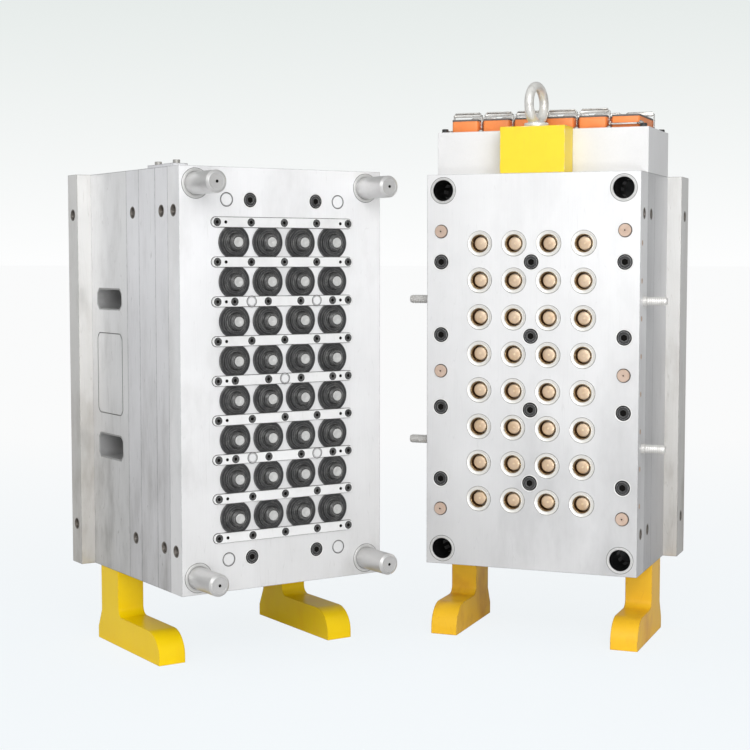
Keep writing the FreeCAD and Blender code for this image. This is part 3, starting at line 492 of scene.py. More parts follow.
# Guide pins and tie rods: hardened, ground and polished steel. The pins end in a lead chamfer and
# keep the centre hole left from turning.
pin_steel = new_material(
    "pin_steel", (0.58, 0.575, 0.57), (0.82, 0.82, 0.82), 0.6, 0.34, (900, 900, 900), (0.0012, 0.1), 0.02,
    0.35, 0.0, (22, 22, 60), (0.34, 0.33, 0.32),
)
dress(pin_steel, "guide_pins", "tie_rods")
BUSHINGS = [(x, 0, MIDDLE + z) for x in (-0.1505, 0.1505) for z in (-0.297, 0.297)]
centre = turned("pin_centres", [
    (0.0023, 0.0695), (0.0023, 0.06965), (0.0015, 0.06965), (0.0012, 0.06955),
], 24)
stand(centre, CORE_HALF, BUSHINGS, shadow, "mould", FACE_TURN)
end_ring = turned("pin_ends", [
    (0.0108, 0.0695), (0.0138, 0.0695), (0.0136, 0.0698), (0.011, 0.0698), (0.0108, 0.0695),
], 48)
stand(end_ring, CORE_HALF, BUSHINGS, pin_steel, "mould", FACE_TURN)

# Cores: hardened steel, turned and polished, with a relief groove behind the nose and a tapered
# end. They shape the inside of the cap and stand in the core plate.
COLUMN = 0.058
ROW = 0.06
CAVITIES = [(x * COLUMN, 0, MIDDLE + (z - 3.5) * ROW) for x in (-1.5, -0.5, 0.5, 1.5) for z in range(8)]
core = turned("core_bodies", [
    (0.0123, -0.038), (0.0125, -0.0378), (0.0125, 0.0068), (0.0117, 0.0074), (0.0117, 0.0088),
    (0.0125, 0.0094), (0.0125, 0.0128), (0.0119, 0.0136), (0.0107, 0.0146), (0.0104, 0.0158),
    (0.0099, 0.0162), (0.0088, 0.0162), (0.0085, 0.0150), (0.0080, 0.0148),
], 48)
# Core steel: its light edges are partly polish and partly a painted highlight.
core_steel = new_material(
    "core_steel", (0.10, 0.10, 0.10), (0.62, 0.62, 0.61), 0.8, 0.3, edge=(0.0007, 0.1), bump=0.06,
    stain=0.5, smear=(120, 120, 120), stain_and_shade_colour=(0.2, 0.2, 0.19),
)
stand(core, CORE_HALF, CAVITIES, core_steel, "mould", FACE_TURN, ["cores"])

# Core tips: bright steel discs, turned and pressed into the core noses, where they close the
# water channels.
tip = turned("core_tips", [
    (0.0075, 0.0140), (0.0077, 0.0142), (0.0077, 0.0168), (0.0073, 0.0173), (0.0012, 0.0173),
    (0.0007, 0.0170),
], 40)
tip_steel = new_material(
    "tip_steel", (0.56, 0.56, 0.55), (0.72, 0.72, 0.71), 0.35, 0.4, edge=(0.0006, 0.2), bump=0.2, stain=0.6,
    smear=(150, 150, 150), stain_and_shade_colour=(0.4, 0.4, 0.39),
)
stand(tip, CORE_HALF, CAVITIES, tip_steel, "mould", FACE_TURN)

# Stripper plate: the front plate, which slides forward on the guide pins and pushes the caps off.
# Ground bright, with a fine hairline of painted shadow in the joint round each pressed-in part.
dress(face_steel, "stripper_plate")


def joint_lines(name, radius, width, half, places, body):
    """Painted shadow hairlines in the joints round parts pressed into a face."""
    line = turned(name, [
        (radius, 0.0), (radius + width, 0.0), (radius + width, 0.0002), (radius, 0.0002), (radius, 0.0),
    ], 48)
    stand(line, half, places, painted_gap_shadow, body, FACE_TURN)


bushing = turned("stripper_bushings", [
    (0.0172, 0.0), (0.0224, 0.0), (0.0224, 0.0004), (0.0218, 0.0009), (0.0192, 0.0009),
    (0.0178, 0.0002), (0.0172, 0.0),
], 56)
bushing_steel = new_material(
    "bushing_steel", (0.66, 0.66, 0.65), (0.45, 0.45, 0.44), 0.4, 0.3, (300, 300, 300), (0.0006, 0.1), 0.05,
)
stand(bushing, CORE_HALF, BUSHINGS, bushing_steel, "ejection", FACE_TURN)
joint_lines("stripper_bushing_joints", 0.0224, 0.0006, CORE_HALF, BUSHINGS, "ejection")

# Stripper rings: turned steel with a black coating, a flange with two flats between the strips
# and a raised collar whose light rims are partly rubbed bright by the caps and partly a painted highlight.
def new_block(size, centre):
    """Plain block of a size, about a centre."""
    bpy.ops.mesh.primitive_cube_add(size=1, location=centre)
    block = bpy.context.object
    block.scale = size
    bpy.ops.object.transform_apply()
    return block


ring = turned("rings", [
    (0.01255, 0.0), (0.0258, 0.0), (0.026, 0.0002), (0.026, 0.0024), (0.0254, 0.003), (0.0212, 0.003),
    (0.0207, 0.0025), (0.0200, 0.0025), (0.0196, 0.003), (0.0193, 0.0062), (0.0186, 0.0070),
    (0.0168, 0.0070), (0.0163, 0.0064), (0.0152, 0.0064), (0.0148, 0.0070), (0.0139, 0.0070),
    (0.0134, 0.0058), (0.01255, 0.0058), (0.01255, 0.0),
], 64)
flats = new_block((0.06, 0.0444, 0.02), (0, 0, 0.005))
bpy.context.view_layer.objects.active = ring
cut = ring.modifiers.new("flats", "BOOLEAN")
cut.operation = "INTERSECT"
cut.object = flats
bpy.ops.object.modifier_apply(modifier="flats")
bpy.data.objects.remove(flats)
ring_steel = new_material(
    "ring_steel", (0.052, 0.052, 0.054), (0.36, 0.36, 0.35), 0.65, 0.4, edge=(0.0008, 0.2), bump=0.12,
    stain=0.7, scratch=0.2, smear=(90, 90, 90), stain_and_shade_colour=(0.12, 0.12, 0.115),
)
stand(ring, CORE_HALF, CAVITIES, ring_steel, "ejection", FACE_TURN, ["stripper_rings"])

# Retaining strips: ground steel strips with round ends that hold the rings down by their flats.
# Each carries small socket screws and two pins, and three also have bright discs between columns.
# Strip steel: its dark edges are painted shade, like the plates'.
strip_steel = new_material(
    "strip_steel", (0.83, 0.83, 0.83), (0.2, 0.2, 0.2), 0.2, 0.42, (9, 700, 700), (0.0009, 0.0), 0.08,
    0.3, 0.2, (22, 22, 22), (0.5, 0.5, 0.49),
)
dress(strip_steel, "retaining_strips")
# A painted shadow hairline runs round each strip, as a thin flat frame.
joint = flat_frame("strip_joints", 0.2514, 0.0164, 0.0081, 0.0015, 0.0003)
STRIP_ROWS = [MIDDLE + (row - 4) * ROW for row in range(9)]
stand(
    joint, CORE_HALF, [(0, 0, z) for z in STRIP_ROWS], painted_gap_shadow, "ejection", FACE_TURN,
)
STRIP_FRONT = 0.003
IN_COLUMNS = (-0.116, -0.087, -0.029, 0.029, 0.087, 0.116)
BETWEEN_COLUMNS = (-0.116, -COLUMN, 0.0, COLUMN, 0.116)
strip_screws = []
strip_pins = []
strip_discs = []
for row, z in enumerate(STRIP_ROWS):
    screws, discs = BETWEEN_COLUMNS, ()
    if row in (2, 6):
        screws, discs = IN_COLUMNS, (-COLUMN, COLUMN)
    elif row == 4:
        screws, discs = IN_COLUMNS, (0.0,)
    strip_screws += [(x, 0, z) for x in screws]
    strip_discs += [(x, 0, z) for x in discs]
    strip_pins += [(x, 0, z) for x in (-0.1015, 0.1015)]
socket_screws("strip_screws", 0.0051, CORE_HALF, strip_screws, "ejection", FACE_TURN, STRIP_FRONT)
pin = turned("strip_pins", [(0.0025, 0.003), (0.0025, 0.0032), (0.0019, 0.0032), (0.0017, 0.0031)], 16)
stand(pin, CORE_HALF, strip_pins, shadow, "ejection", FACE_TURN)
disc = turned("strip_discs", [
    (0.0080, 0.003), (0.0080, 0.0033), (0.0070, 0.0033), (0.0069, 0.0031), (0.0067, 0.0031),
    (0.0065, 0.0033),
], 36)
stand(disc, CORE_HALF, strip_discs, face_steel, "ejection", FACE_TURN)
# Painted shadow hairlines run round the discs too.
joint = turned("strip_disc_joints", [
    (0.0080, 0.003), (0.0088, 0.003), (0.0088, 0.0032), (0.0080, 0.0032), (0.0080, 0.003),
], 36)
stand(joint, CORE_HALF, strip_discs, painted_gap_shadow, "ejection", FACE_TURN)

# Tie rod screws and face dowels: four large black socket screws hold the tie rods to the stripper
# plate, and four flush ground dowels stand beside them.
FASTENER_RISES = (-0.274, 0.274)
socket_screws(
    "tie_rod_screws", 0.0088, CORE_HALF,
    [(x, 0, MIDDLE + z) for x in (-COLUMN, COLUMN) for z in FASTENER_RISES], "ejection", FACE_TURN,
)
DOWELS = [(x, 0, MIDDLE + z) for x in (-0.0985, 0.0985) for z in FASTENER_RISES]
dowel = turned("face_dowels", [(0.0099, 0.0), (0.0099, 0.0001), (0.0096, 0.0003), (0.0086, 0.0003)], 40)
stand(dowel, CORE_HALF, DOWELS, face_steel, "ejection", FACE_TURN)
joint_lines("face_dowel_joints", 0.0100, 0.0009, CORE_HALF, DOWELS, "ejection")

# Plates of the fixed half: milled and ground steel plates, screwed together from both sides. The
# cavity plate in front is ground bright and has four rows of eight cavities.
CAVITY_HALF = Matrix.Translation((0.261, 0.0733, 0))
# The cavity plate steel darkens at its edges and towards the bottom as painted shade, and the nozzle and
# manifold plates, seen mostly from the side, take a darker copy of it as painted shade.
cavity_face_steel = new_material(
    "cavity_face_steel", (0.82, 0.82, 0.825), (0.3, 0.3, 0.31), 0.3, 0.42, UPRIGHT, (0.0016, 0.0), 0.1,
    0.25, 0.12, (8, 8, 3), (0.40, 0.40, 0.405), 0.6,
)
shaded_side_steel = new_material(
    "shaded_side_steel", (0.60, 0.60, 0.61), (0.2, 0.2, 0.21), 0.35, 0.4, UPRIGHT, (0.0026, 0.0), 0.14,
    0.25, 0.25, (20, 20, 5), (0.26, 0.25, 0.25), 0.45,
)
dress(cavity_face_steel, "cavity_plate")
dress(shaded_side_steel, "nozzle_plate", "manifold_plate")
dress(clamp_steel, "fixed_clamp_plate")
dress(inner_steel, "hot_manifold")

# Cavity inserts: round inserts pressed into the cavity plate, with a turned lip and a groove, and
# a polished wall that shapes the outside of the cap, painted dark brown as shade with golden
# edges as a painted highlight.
insert = turned("cavity_inserts", [
    (0.0143, 0.0), (0.0204, 0.0), (0.0204, 0.0013), (0.0199, 0.0017), (0.0192, 0.0015), (0.0166, 0.0004),
    (0.0161, 0.0004), (0.0158, 0.0009), (0.0150, 0.0009), (0.0146, 0.0002), (0.0143, 0.0),
], 48)
insert_steel = new_material(
    "insert_steel", (0.8, 0.785, 0.75), (0.42, 0.38, 0.32), 0.45, 0.3, edge=(0.0005, 0.1), bump=0.06,
)
stand(insert, CAVITY_HALF, CAVITIES, insert_steel, "mould", FACE_TURN)
joint_lines("cavity_insert_joints", 0.0204, 0.0005, CAVITY_HALF, CAVITIES, "mould")
wall = turned("cavity_walls", [
    (0.0136, -0.0117), (0.0136, 0.0001), (0.0150, 0.0006), (0.0146, 0.0008), (0.0134, -0.0008),
    (0.0131, -0.0040), (0.0131, -0.0100), (0.0123, -0.0114), (0.0116, -0.0117), (0.0136, -0.0117),
], 48)
# Wall steel: dark brown as painted shade of the cavity, with golden edges as a painted highlight.
wall_shade_and_sheen = new_material(
    "wall_shade_and_sheen", (0.16, 0.095, 0.045), (0.8, 0.62, 0.36), 0.9, 0.24, edge=(0.0007, 0.1), bump=0.06,
    stain=0.5, smear=(80, 80, 80), stain_and_shade_colour=(0.3, 0.17, 0.07),
)
stand(wall, CAVITY_HALF, CAVITIES, wall_shade_and_sheen, "mould", FACE_TURN)

# Gate discs: bronze faces, turned and pressed into the bottoms of the cavities, each with a small
# raised gate in the middle where the plastic enters.
gate = turned("gate_discs", [
    (0.0110, -0.0119), (0.0110, -0.0080), (0.0106, -0.0069), (0.0097, -0.0063), (0.0016, -0.0062),
    (0.0012, -0.0058), (0.0008, -0.0058), (0.0005, -0.0066),
], 40)
# Bronze: light rims as a painted highlight, and darker towards the bottom as painted shade.
bronze = new_material(
    "bronze", (0.72, 0.55, 0.40), (0.98, 0.84, 0.55), 0.35, 0.34, edge=(0.0016, 0.1), bump=0.1, stain=0.75,
    smear=(50, 50, 30), stain_and_shade_colour=(0.55, 0.33, 0.15), low=0.35,
)
stand(gate, CAVITY_HALF, CAVITIES, bronze, "mould", FACE_TURN)

# Guide bushings of the fixed half: hardened steel rings, flush with the face, round the bores that
# take the guide pins, lined near-black as painted shade.
bushing = turned("guide_bushings", [
    (0.0172, 0.0), (0.0214, 0.0), (0.0214, 0.0002), (0.0210, 0.0005), (0.0196, 0.0005), (0.0193, 0.0002),
    (0.0189, 0.0002), (0.0186, 0.0005), (0.0176, 0.0005), (0.0172, 0.0),
], 56)
stand(bushing, CAVITY_HALF, BUSHINGS, bushing_steel, "mould", FACE_TURN)
joint_lines("guide_bushing_joints", 0.0214, 0.0006, CAVITY_HALF, BUSHINGS, "mould")
bore = turned("guide_bores", [
    (0.0176, -0.0776), (0.0176, -0.0530), (0.01702, -0.0522), (0.01702, -0.0004), (0.0172, 0.0003),
    (0.01680, -0.0002), (0.01680, -0.0522), (0.0174, -0.0530), (0.0174, -0.0770),
], 48)
bore_shade_steel = new_material(
    "bore_shade_steel", (0.014, 0.014, 0.015), (0.06, 0.06, 0.06), 0.4, 0.3, edge=(0.0006, 0.3), bump=0.15,
    stain=0.6, smear=(70, 70, 70), stain_and_shade_colour=(0.05, 0.05, 0.05),
)
stand(bore, CAVITY_HALF, BUSHINGS, bore_shade_steel, "mould", FACE_TURN)

# Landing buttons: turned brass pads that the halves meet on, each held by a small screw in its
# middle, with a painted shadow of the recess gap round its foot.
LANDINGS = [(x, 0, MIDDLE + z) for x in (-0.1535, 0.1535) for z in (-0.23, 0, 0.23)]
button = turned("landing_buttons", [
    (0.0100, 0.0), (0.0100, 0.0034), (0.0094, 0.004), (0.0032, 0.004), (0.0029, 0.0036), (0.0024, 0.0036),
], 40)
brass = new_material(
    "brass", (0.62, 0.47, 0.38), (0.36, 0.24, 0.16), 0.4, 0.36, edge=(0.0007, 0.1), bump=0.15, stain=0.6,
    smear=(60, 60, 60), stain_and_shade_colour=(0.5, 0.3, 0.18),
)
stand(button, CAVITY_HALF, LANDINGS, brass, "mould", FACE_TURN, ["landing_buttons"])
recess = turned("landing_recesses", [
    (0.0100, 0.0), (0.0113, 0.0), (0.0113, 0.0003), (0.0100, 0.0003), (0.0100, 0.0),
], 40)
stand(recess, CAVITY_HALF, LANDINGS, painted_gap_shadow, "mould", FACE_TURN)
middle = turned("landing_screws", [(0.0013, 0.0034), (0.0013, 0.0038), (0.0009, 0.0038)], 12)
stand(middle, CAVITY_HALF, LANDINGS, shadow, "mould", FACE_TURN)

# Cavity plate screws: twelve large black socket screws of hardened steel, sunk in counterbores,
# that clamp the cavity plate to the rest of the half.
socket_screws(
    "cavity_plate_screws", 0.0099, CAVITY_HALF,
    [(x, 0, MIDDLE + z) for x in (-0.1535, 0, 0.1535) for z in (-0.18, -0.06, 0.06, 0.18)], "mould",
    FACE_TURN,
)

# Lifting threads of the fixed half, and small brass plugs that close its cross-drilled channels.
for side, word in SIDES:
    liner = turned(f"cavity_half_threads_{word}", thread, 24)
    places = [
        (side * reach, depth, MIDDLE + z)
        for depth, reach in ((0.026, PLATE_SIDE), (0.078, PLATE_SIDE), (0.238, CLAMP_SIDE))
        for z in THREAD_RISES
    ]
    stand(liner, CAVITY_HALF, places, thread_steel, "mould", SIDE_TURN[side])
    plug = turned(f"channel_plugs_{word}", [
        (0.0042, 0.0), (0.0042, 0.0003), (0.0036, 0.0003), (0.0034, 0.0001), (0.0020, 0.0002),
        (0.0018, 0.00005),
    ], 20)
    stand(
        plug, CAVITY_HALF, [(side * PLATE_SIDE, 0.014, MIDDLE + (z - 3.5) * ROW) for z in range(8)], brass,
        "mould", SIDE_TURN[side],
    )

# Fixed clamp screws, locating ring and sprue bushing: black screws round a turned steel ring that
# finds the machine's platen, with the hardened bushing for the machine nozzle in its middle.
socket_screws(
    "fixed_clamp_screws", 0.012, CAVITY_HALF, [(x, 0.268, z) for x, z in CLAMP_SCREWS], "mould", BACK_TURN,
)
RING_SCREW = 0.0515 * 0.7071
socket_screws(
    "locating_ring_screws", 0.0042, CAVITY_HALF,
    [(x, 0.278, MIDDLE + z) for x in (RING_SCREW, -RING_SCREW) for z in (RING_SCREW, -RING_SCREW)],
    "mould", BACK_TURN,
)
dress(pin_steel, "locating_ring")
dress(core_steel, "sprue_bushing")

# Water nipples: turned and nickel-plated hose tails with a round shoulder and a row of barbs,
# screwed into the sides of the cavity plate.
outline = [(0.0045, 0.0), (0.0078, 0.0), (0.0078, 0.006), (0.0062, 0.0066)]
for barb in range(9):
    start = 0.0075 + barb * 0.0032
    outline += [(0.0062, start), (0.0071, start + 0.0006), (0.0064, start + 0.0028)]
outline += [(0.0058, 0.038), (0.0045, 0.038), (0.0045, 0.0)]
nipple_steel = new_material(
    "nipple_steel", (0.7, 0.69, 0.67), (0.3, 0.29, 0.27), 0.3, 0.3, edge=(0.0005, 0.1), bump=0.1, stain=0.4,
    smear=(90, 90, 90), stain_and_shade_colour=(0.4, 0.37, 0.33),
)
for side, word in SIDES:
    nipple = turned(f"hose_tails_{word}", outline, 32)
    stand(
        nipple, CAVITY_HALF, [(side * PLATE_SIDE, 0.026, MIDDLE + z) for z in (-0.118, 0.118)],
        nipple_steel, "mould", SIDE_TURN[side], [f"water_nipples_{word}"],
    )

# Terminal box: folded sheet steel, powder coated white, screwed on top of the nozzle and manifold
# plates. Small dark screws hold its lid at the corners.
box_white = new_material(
    "box_white", (0.76, 0.76, 0.765), (0.62, 0.62, 0.62), 0.0, 0.5, (300, 300, 300), (0.0012, 0.35), 0.2,
    0.2, 0.1, (10, 10, 10), (0.68, 0.67, 0.65),
)
dress(box_white, "terminal_box")
lid_screw = turned("lid_screws", [
    (0.0050, 0.0), (0.0054, 0.0006), (0.0054, 0.0052), (0.0047, 0.0060), (0.0030, 0.0060),
    (0.0027, 0.0038),
], 24)
BOX_TOP = 0.844
stand(
    lid_screw, CAVITY_HALF, [(x, y, BOX_TOP) for x in (-0.168, 0.168) for y in (0.060, 0.200)],
    black_screw, "mould",
)

# Connector housings: six die-cast housings in a row on the box, coated orange, each an open tray
# with round corners and a grey rubber gasket on its rim.
def picked(piece, kind, wanted):
    """Enter edit mode with the faces or edges of a place or direction selected."""
    bpy.ops.object.mode_set(mode="EDIT")
    bpy.ops.mesh.select_mode(type=kind)
    bpy.ops.mesh.select_all(action="DESELECT")
    bpy.ops.object.mode_set(mode="OBJECT")
    for element in (piece.data.polygons if kind == "FACE" else piece.data.edges):
        element.select = wanted(element)
    bpy.ops.object.mode_set(mode="EDIT")


def edge_reach(piece, edge, axis):
    """How far an edge reaches along x, y or z (0, 1 or 2)."""
    first, second = (piece.data.vertices[end].co[axis] for end in edge.vertices)
    return abs(first - second)


def soften(piece, width):
    """Round the sharp edges of a piece that stands ready in object mode, and shade it smooth."""
    soft = piece.modifiers.new("soft_edges", "BEVEL")
    soft.width = width
    soft.segments = 2
    soft.limit_method = "ANGLE"
    bpy.ops.object.modifier_apply(modifier="soft_edges")
    bpy.ops.object.shade_smooth_by_angle(angle=SMOOTH_ANGLE)


PITCH = 0.0545
HOUSINGS = [((number - 2.5) * PITCH, 0.130, BOX_TOP) for number in range(6)]
housing = new_block((0.046, 0.124, 0.019), (0, 0, 0.0095))
housing.name = "connector_bodies"
picked(housing, "EDGE", lambda edge: edge_reach(housing, edge, 2) > 0.01)
bpy.ops.mesh.bevel(offset=0.005, segments=4, affect="EDGES")
picked(housing, "FACE", lambda face: face.normal.z > 0.9)
bpy.ops.mesh.inset(thickness=0.004)
bpy.ops.mesh.extrude_region_move(TRANSFORM_OT_translate={"value": (0, 0, -0.014)})
bpy.ops.object.mode_set(mode="OBJECT")
soften(housing, 0.0008)
orange_coat = new_material(
    "orange_coat", (0.93, 0.27, 0.07), (0.6, 0.3, 0.14), 0.0, 0.4, (200, 200, 200), (0.0008, 0.45), 0.25,
    0.3, 0.1, (40, 40, 40), (0.6, 0.16, 0.04),
)
stand(
    housing, CAVITY_HALF, HOUSINGS, orange_coat, "mould",
    replaced=["connector_housings"],
)
gasket = flat_frame("connector_gaskets", 0.0464, 0.1244, 0.0052, 0.0036, 0.0028)
rubber = new_material("rubber", (0.14, 0.13, 0.125), (0.2, 0.19, 0.18), 0.0, 0.6, (300, 300, 300), bump=0.2)
stand(gasket, CAVITY_HALF, [(x, y, 0.863) for x, y, z in HOUSINGS], rubber, "mould")

# Contact inserts: blocks moulded of grey plastic and clipped into the housings, with two rows of
# round contact holes each.
grey_plastic = new_material(
    "grey_plastic", (0.23, 0.22, 0.21), (0.3, 0.3, 0.3), 0.0, 0.5, edge=(0.0006, 0.4), bump=0.15,
)
dress(grey_plastic, "contact_inserts")
CONTACT_PITCH = 0.008
contact = turned("contact_holes", [
    (0.0022, 0.0), (0.0022, 0.0004), (0.0014, 0.0004), (0.0013, 0.0002),
], 10)
places = [
    (x + across, y + along * CONTACT_PITCH, 0.860)
    for x, y, z in HOUSINGS for across in (-0.008, 0.008) for along in range(-5, 6)
]
stand(contact, CAVITY_HALF, places, cap_steel, "mould")

# Locking levers: bails of plated sheet steel, one at each end of every housing, pivoted on its
# long sides. A folded grip with a rolled edge joins two arms with round ears. All stand up except
# one, which lies to the front.
def new_bail(name):
    """One bail with its pivots at z = 0, standing up."""
    grip = new_block((0.0472, 0.0024, 0.0070), (0, -0.0013, 0.0220))
    picked(grip, "EDGE", lambda edge: edge_reach(grip, edge, 1) > 0.001)
    bpy.ops.mesh.bevel(offset=0.0030, segments=5, affect="EDGES")
    picked(grip, "FACE", lambda face: face.normal.y < -0.9)
    bpy.ops.mesh.inset(thickness=0.0014)
    bpy.ops.mesh.extrude_region_move(TRANSFORM_OT_translate={"value": (0, 0.0007, 0)})
    bpy.ops.object.mode_set(mode="OBJECT")
    bpy.ops.mesh.primitive_cylinder_add(
        vertices=16, radius=0.0012, depth=0.0420, location=(0, -0.0017, 0.0252), rotation=(0, pi / 2, 0),
    )
    bpy.ops.object.transform_apply()
    pieces = [grip, bpy.context.object]
    for side in (-1, 1):
        arm = new_block((0.0014, 0.0066, 0.025), (side * 0.0243, 0, 0.0095))
        picked(arm, "EDGE", lambda edge: (
            edge_reach(arm, edge, 0) > 0.001 and arm.data.vertices[edge.vertices[0]].co.z < 0
        ))
        bpy.ops.mesh.bevel(offset=0.0031, segments=4, affect="EDGES")
        bpy.ops.object.mode_set(mode="OBJECT")
        pin = turned("pivot", PIVOT_PIN, 16)
        pin.data.transform(Matrix.Translation((side * 0.0240, 0, 0)) @ SIDE_TURN[side])
        pieces += [arm, pin]
    for piece in pieces:
        piece.select_set(True)
    bpy.context.view_layer.objects.active = grip
    bpy.ops.object.join()
    grip.name = name
    soften(grip, 0.0003)
    return grip


PIVOT_PIN = [(0.0034, 0.0), (0.0034, 0.0010), (0.0028, 0.0014), (0.0012, 0.0014), (0.0010, 0.0010)]
LEVER_PIVOT = 0.852
# Lever steel: its dark edges are painted shade, which outline each grip.
lever_steel = new_material(
    "lever_steel", (0.88, 0.87, 0.84), (0.06, 0.05, 0.045), 0.5, 0.22, edge=(0.0022, 0.0), bump=0.0,
    stain=0.6, smear=(55, 55, 55), stain_and_shade_colour=(0.3, 0.24, 0.18),
)
for number in range(6):
    for word, depth, swing in (("front", 0.086, 0), ("back", 0.174, pi)):
        lying = number == 5 and word == "front"
        bail = new_bail(f"bail_{number + 1}_{word}")
        stand(
            bail, CAVITY_HALF, [((number - 2.5) * PITCH, depth, LEVER_PIVOT)], lever_steel,
            f"lever_{number + 1}_{word}",
            Matrix.Rotation(swing, 4, "Z") @ (FACE_TURN if lying else Matrix.Identity(4)),
            [f"locking_lever_{number + 1}_{word}"],
        )

# Housing screws: turned and plated steel cap screws, which stand on the box between the housings
# and hold them down.
housing_screw = turned("housing_screws", [
    (0.0036, 0.0), (0.0040, 0.0004), (0.0040, 0.0034), (0.0034, 0.0040), (0.0022, 0.0040), (0.0020, 0.0026),
], 20)
stand(
    housing_screw, CAVITY_HALF,
    [((number - 3) * PITCH, y, BOX_TOP) for number in range(7) for y in (0.072, 0.188)],
    cap_steel, "mould",
)

# Lifting block: a solid steel block screwed on the cavity plate and painted yellow, with paint
# chipped down to the primer along its edges.
chipped_yellow = new_material(
    "chipped_yellow", (0.9, 0.66, 0.02), (0.86, 0.8, 0.6), 0.0, 0.4, (80, 80, 80), (0.0026, 0.47), 0.3,
    0.3, 0.3, (16, 16, 16), (0.8, 0.52, 0.04),
)
dress(chipped_yellow, "lifting_block")

# Eye bolt: a forged and plated ring on a turned collar, thick where it runs into the collar, and
# screwed home so that it stands a little askew on the block.
bpy.ops.mesh.primitive_torus_add(
    major_radius=0.0285, minor_radius=0.0075, major_segments=72, minor_segments=24,
    location=(0, 0, 0.0366), rotation=(0, pi / 2, 0),
)
ring = bpy.context.object
bpy.ops.object.transform_apply()
THICK_BELOW = 0.030
for point in ring.data.vertices:
    low = max(0.0, (THICK_BELOW - point.co.z) / THICK_BELOW)
    point.co.x *= 1 + 0.35 * low
bpy.ops.object.shade_smooth()
neck = turned("eye_neck", [
    (0.0192, 0.0), (0.0200, 0.0006), (0.0202, 0.0045), (0.0194, 0.0060), (0.0150, 0.0066),
    (0.0128, 0.0080), (0.0112, 0.0110), (0.0090, 0.0140), (0.0060, 0.0150),
], 48)
ring.select_set(True)
neck.select_set(True)
bpy.context.view_layer.objects.active = ring
bpy.ops.object.join()
ring.name = "forged_eye"
forged_steel = new_material(
    "forged_steel", (0.78, 0.77, 0.74), (0.85, 0.84, 0.8), 0.5, 0.3, (160, 160, 160), (0.0012, 0.4), 0.3,
    0.9, 0.0, (38, 38, 38), (0.27, 0.26, 0.23),
)
stand(
    ring, CAVITY_HALF, [(0, 0.026, 0.846)], forged_steel, "mould",
    Matrix.Rotation(radians(-9), 4, "Z"), ["eye_bolt"],
)

# Feet of the fixed half: the same pattern of foot, in an older amber paint that has rubbed and
# rusted through at the legs.
amber_paint = new_material(
    "amber_paint", (0.97, 0.53, 0.02), (0.5, 0.25, 0.05), 0.0, 0.34, (60, 60, 60), (0.0024, 0.42), 0.3,
    1.0, 0.3, (13, 13, 9), (0.62, 0.24, 0.02), 0.0, 0.35,
)
dress(amber_paint, "cavity_half_feet")

# Camera: level with the upper part of the plates and turned a little to the left, placed and
# aimed by the corners of both halves in the reference view.
camera = bpy.data.objects.new("camera", bpy.data.cameras.new("camera"))
bpy.context.collection.objects.link(camera)
camera.data.lens = 75.66
camera.data.sensor_width = 36
camera.location = (0.9716, -2.3902, 0.6288)
camera.rotation_euler = (radians(85.88), 0, radians(21.73))
bpy.context.scene.camera = camera

# Floor: a pale sweep that runs out of sight behind the mould. The camera sees mostly its plain
# colour, with the soft shadows of the feet, and it turns paler with distance.
bpy.ops.mesh.primitive_plane_add(size=400, location=(0, 0, -0.0005))
floor = bpy.context.object
floor.name = "floor"
pale = bpy.data.materials.new("pale_floor")
pale.use_nodes = True
nodes = pale.node_tree.nodes
links = pale.node_tree.links
ray = nodes.new("ShaderNodeLightPath")
share = nodes.new("ShaderNodeMath")
share.operation = "MULTIPLY"
share.inputs[1].default_value = 0.88
glow = nodes.new("ShaderNodeEmission")
place = nodes.new("ShaderNodeTexCoord")
away = new_vector_math(pale.node_tree, "DOT_PRODUCT")
away.inputs[1].default_value = (-0.355, 0.935, 0)
distance = new_range(pale.node_tree, 0.0, 3.0)
shade = nodes.new("ShaderNodeMix")
shade.data_type = "RGBA"
shade.inputs[6].default_value = (0.935, 0.975, 1.0, 1)
shade.inputs[7].default_value = (1.03, 1.035, 1.035, 1)
mix = nodes.new("ShaderNodeMixShader")
nodes["Principled BSDF"].inputs["Base Color"].default_value = (0.8, 0.81, 0.82, 1)
nodes["Principled BSDF"].inputs["Roughness"].default_value = 0.9
links.new(place.outputs["Object"], away.inputs[0])
links.new(away.outputs["Value"], distance.inputs["Value"])
links.new(distance.outputs["Result"], shade.inputs[0])
links.new(shade.outputs[2], glow.inputs["Color"])
links.new(ray.outputs["Is Camera Ray"], share.inputs[0])
links.new(share.outputs["Value"], mix.inputs[0])
links.new(nodes["Principled BSDF"].outputs[0], mix.inputs[1])
links.new(glow.outputs[0], mix.inputs[2])
links.new(mix.outputs[0], nodes["Material Output"].inputs["Surface"])
floor.data.materials.append(pale)

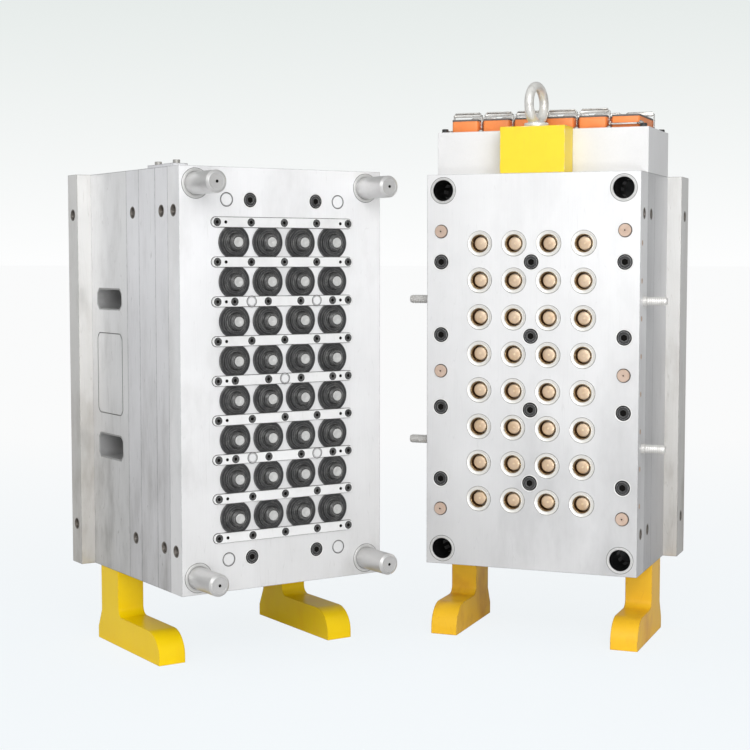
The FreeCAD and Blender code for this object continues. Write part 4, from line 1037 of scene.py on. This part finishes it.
# Studio: soft light mostly from the front, dimmer from the sides and behind, while the camera
# sees a plain pale backdrop that greys a little upwards and shows in part in bright metal too.
world = bpy.data.worlds.new("studio")
bpy.context.scene.world = world
world.use_nodes = True
nodes = world.node_tree.nodes
links = world.node_tree.links
nodes.clear()
output = nodes.new("ShaderNodeOutputWorld")
light = nodes.new("ShaderNodeBackground")
seen = nodes.new("ShaderNodeBackground")
ray = nodes.new("ShaderNodeLightPath")
mirrored = nodes.new("ShaderNodeMath")
mirrored.operation = "MULTIPLY"
mirrored.inputs[1].default_value = 0.35
plain = nodes.new("ShaderNodeMath")
plain.operation = "MAXIMUM"
mix = nodes.new("ShaderNodeMixShader")
direction = nodes.new("ShaderNodeTexCoord")
toward = new_vector_math(world.node_tree, "DOT_PRODUCT")
toward.inputs[1].default_value = (-0.05, -0.95, 0.3)
amount = new_range(world.node_tree, -0.7, 0.8, 0.26, 0.92)
upward = new_vector_math(world.node_tree, "DOT_PRODUCT")
upward.inputs[1].default_value = (0, 0, 1)
rise = new_range(world.node_tree, 0.0, 0.16)
shade = nodes.new("ShaderNodeMix")
shade.data_type = "RGBA"
shade.inputs[6].default_value = (0.985, 0.99, 0.99, 1)
shade.inputs[7].default_value = (0.80, 0.84, 0.825, 1)
links.new(direction.outputs["Generated"], toward.inputs[0])
links.new(direction.outputs["Generated"], upward.inputs[0])
links.new(toward.outputs["Value"], amount.inputs["Value"])
links.new(upward.outputs["Value"], rise.inputs["Value"])
links.new(rise.outputs["Result"], shade.inputs[0])
links.new(shade.outputs[2], seen.inputs["Color"])
links.new(amount.outputs["Result"], light.inputs["Strength"])
links.new(ray.outputs["Is Glossy Ray"], mirrored.inputs[0])
links.new(ray.outputs["Is Camera Ray"], plain.inputs[0])
links.new(mirrored.outputs["Value"], plain.inputs[1])
links.new(plain.outputs["Value"], mix.inputs[0])
links.new(light.outputs[0], mix.inputs[1])
links.new(seen.outputs[0], mix.inputs[2])
links.new(mix.outputs[0], output.inputs["Surface"])

# Lights: a large soft key in front of the fixed half, one at the right that brightens the face of
# the moving half more than its side, and a low one for the feet.
for name, location, aim, size, power in (
    ("key", (0.6, -3.0, 1.9), (0.15, 0, 0.6), 1.6, 26),
    ("side_key", (1.5, -1.8, 1.6), (-0.06, -0.18, 0.65), 0.9, 14),
    ("low_fill", (1.2, -2.0, 0.16), (0.12, -0.1, 0.0), 0.5, 11),
):
    lamp = bpy.data.objects.new(name, bpy.data.lights.new(name, "AREA"))
    bpy.context.collection.objects.link(lamp)
    lamp.data.size = size
    lamp.data.energy = power
    lamp.location = location
    lamp.rotation_euler = (Vector(location) - Vector(aim)).to_track_quat("Z", "Y").to_euler()

bpy.context.scene.view_settings.view_transform = "Standard"
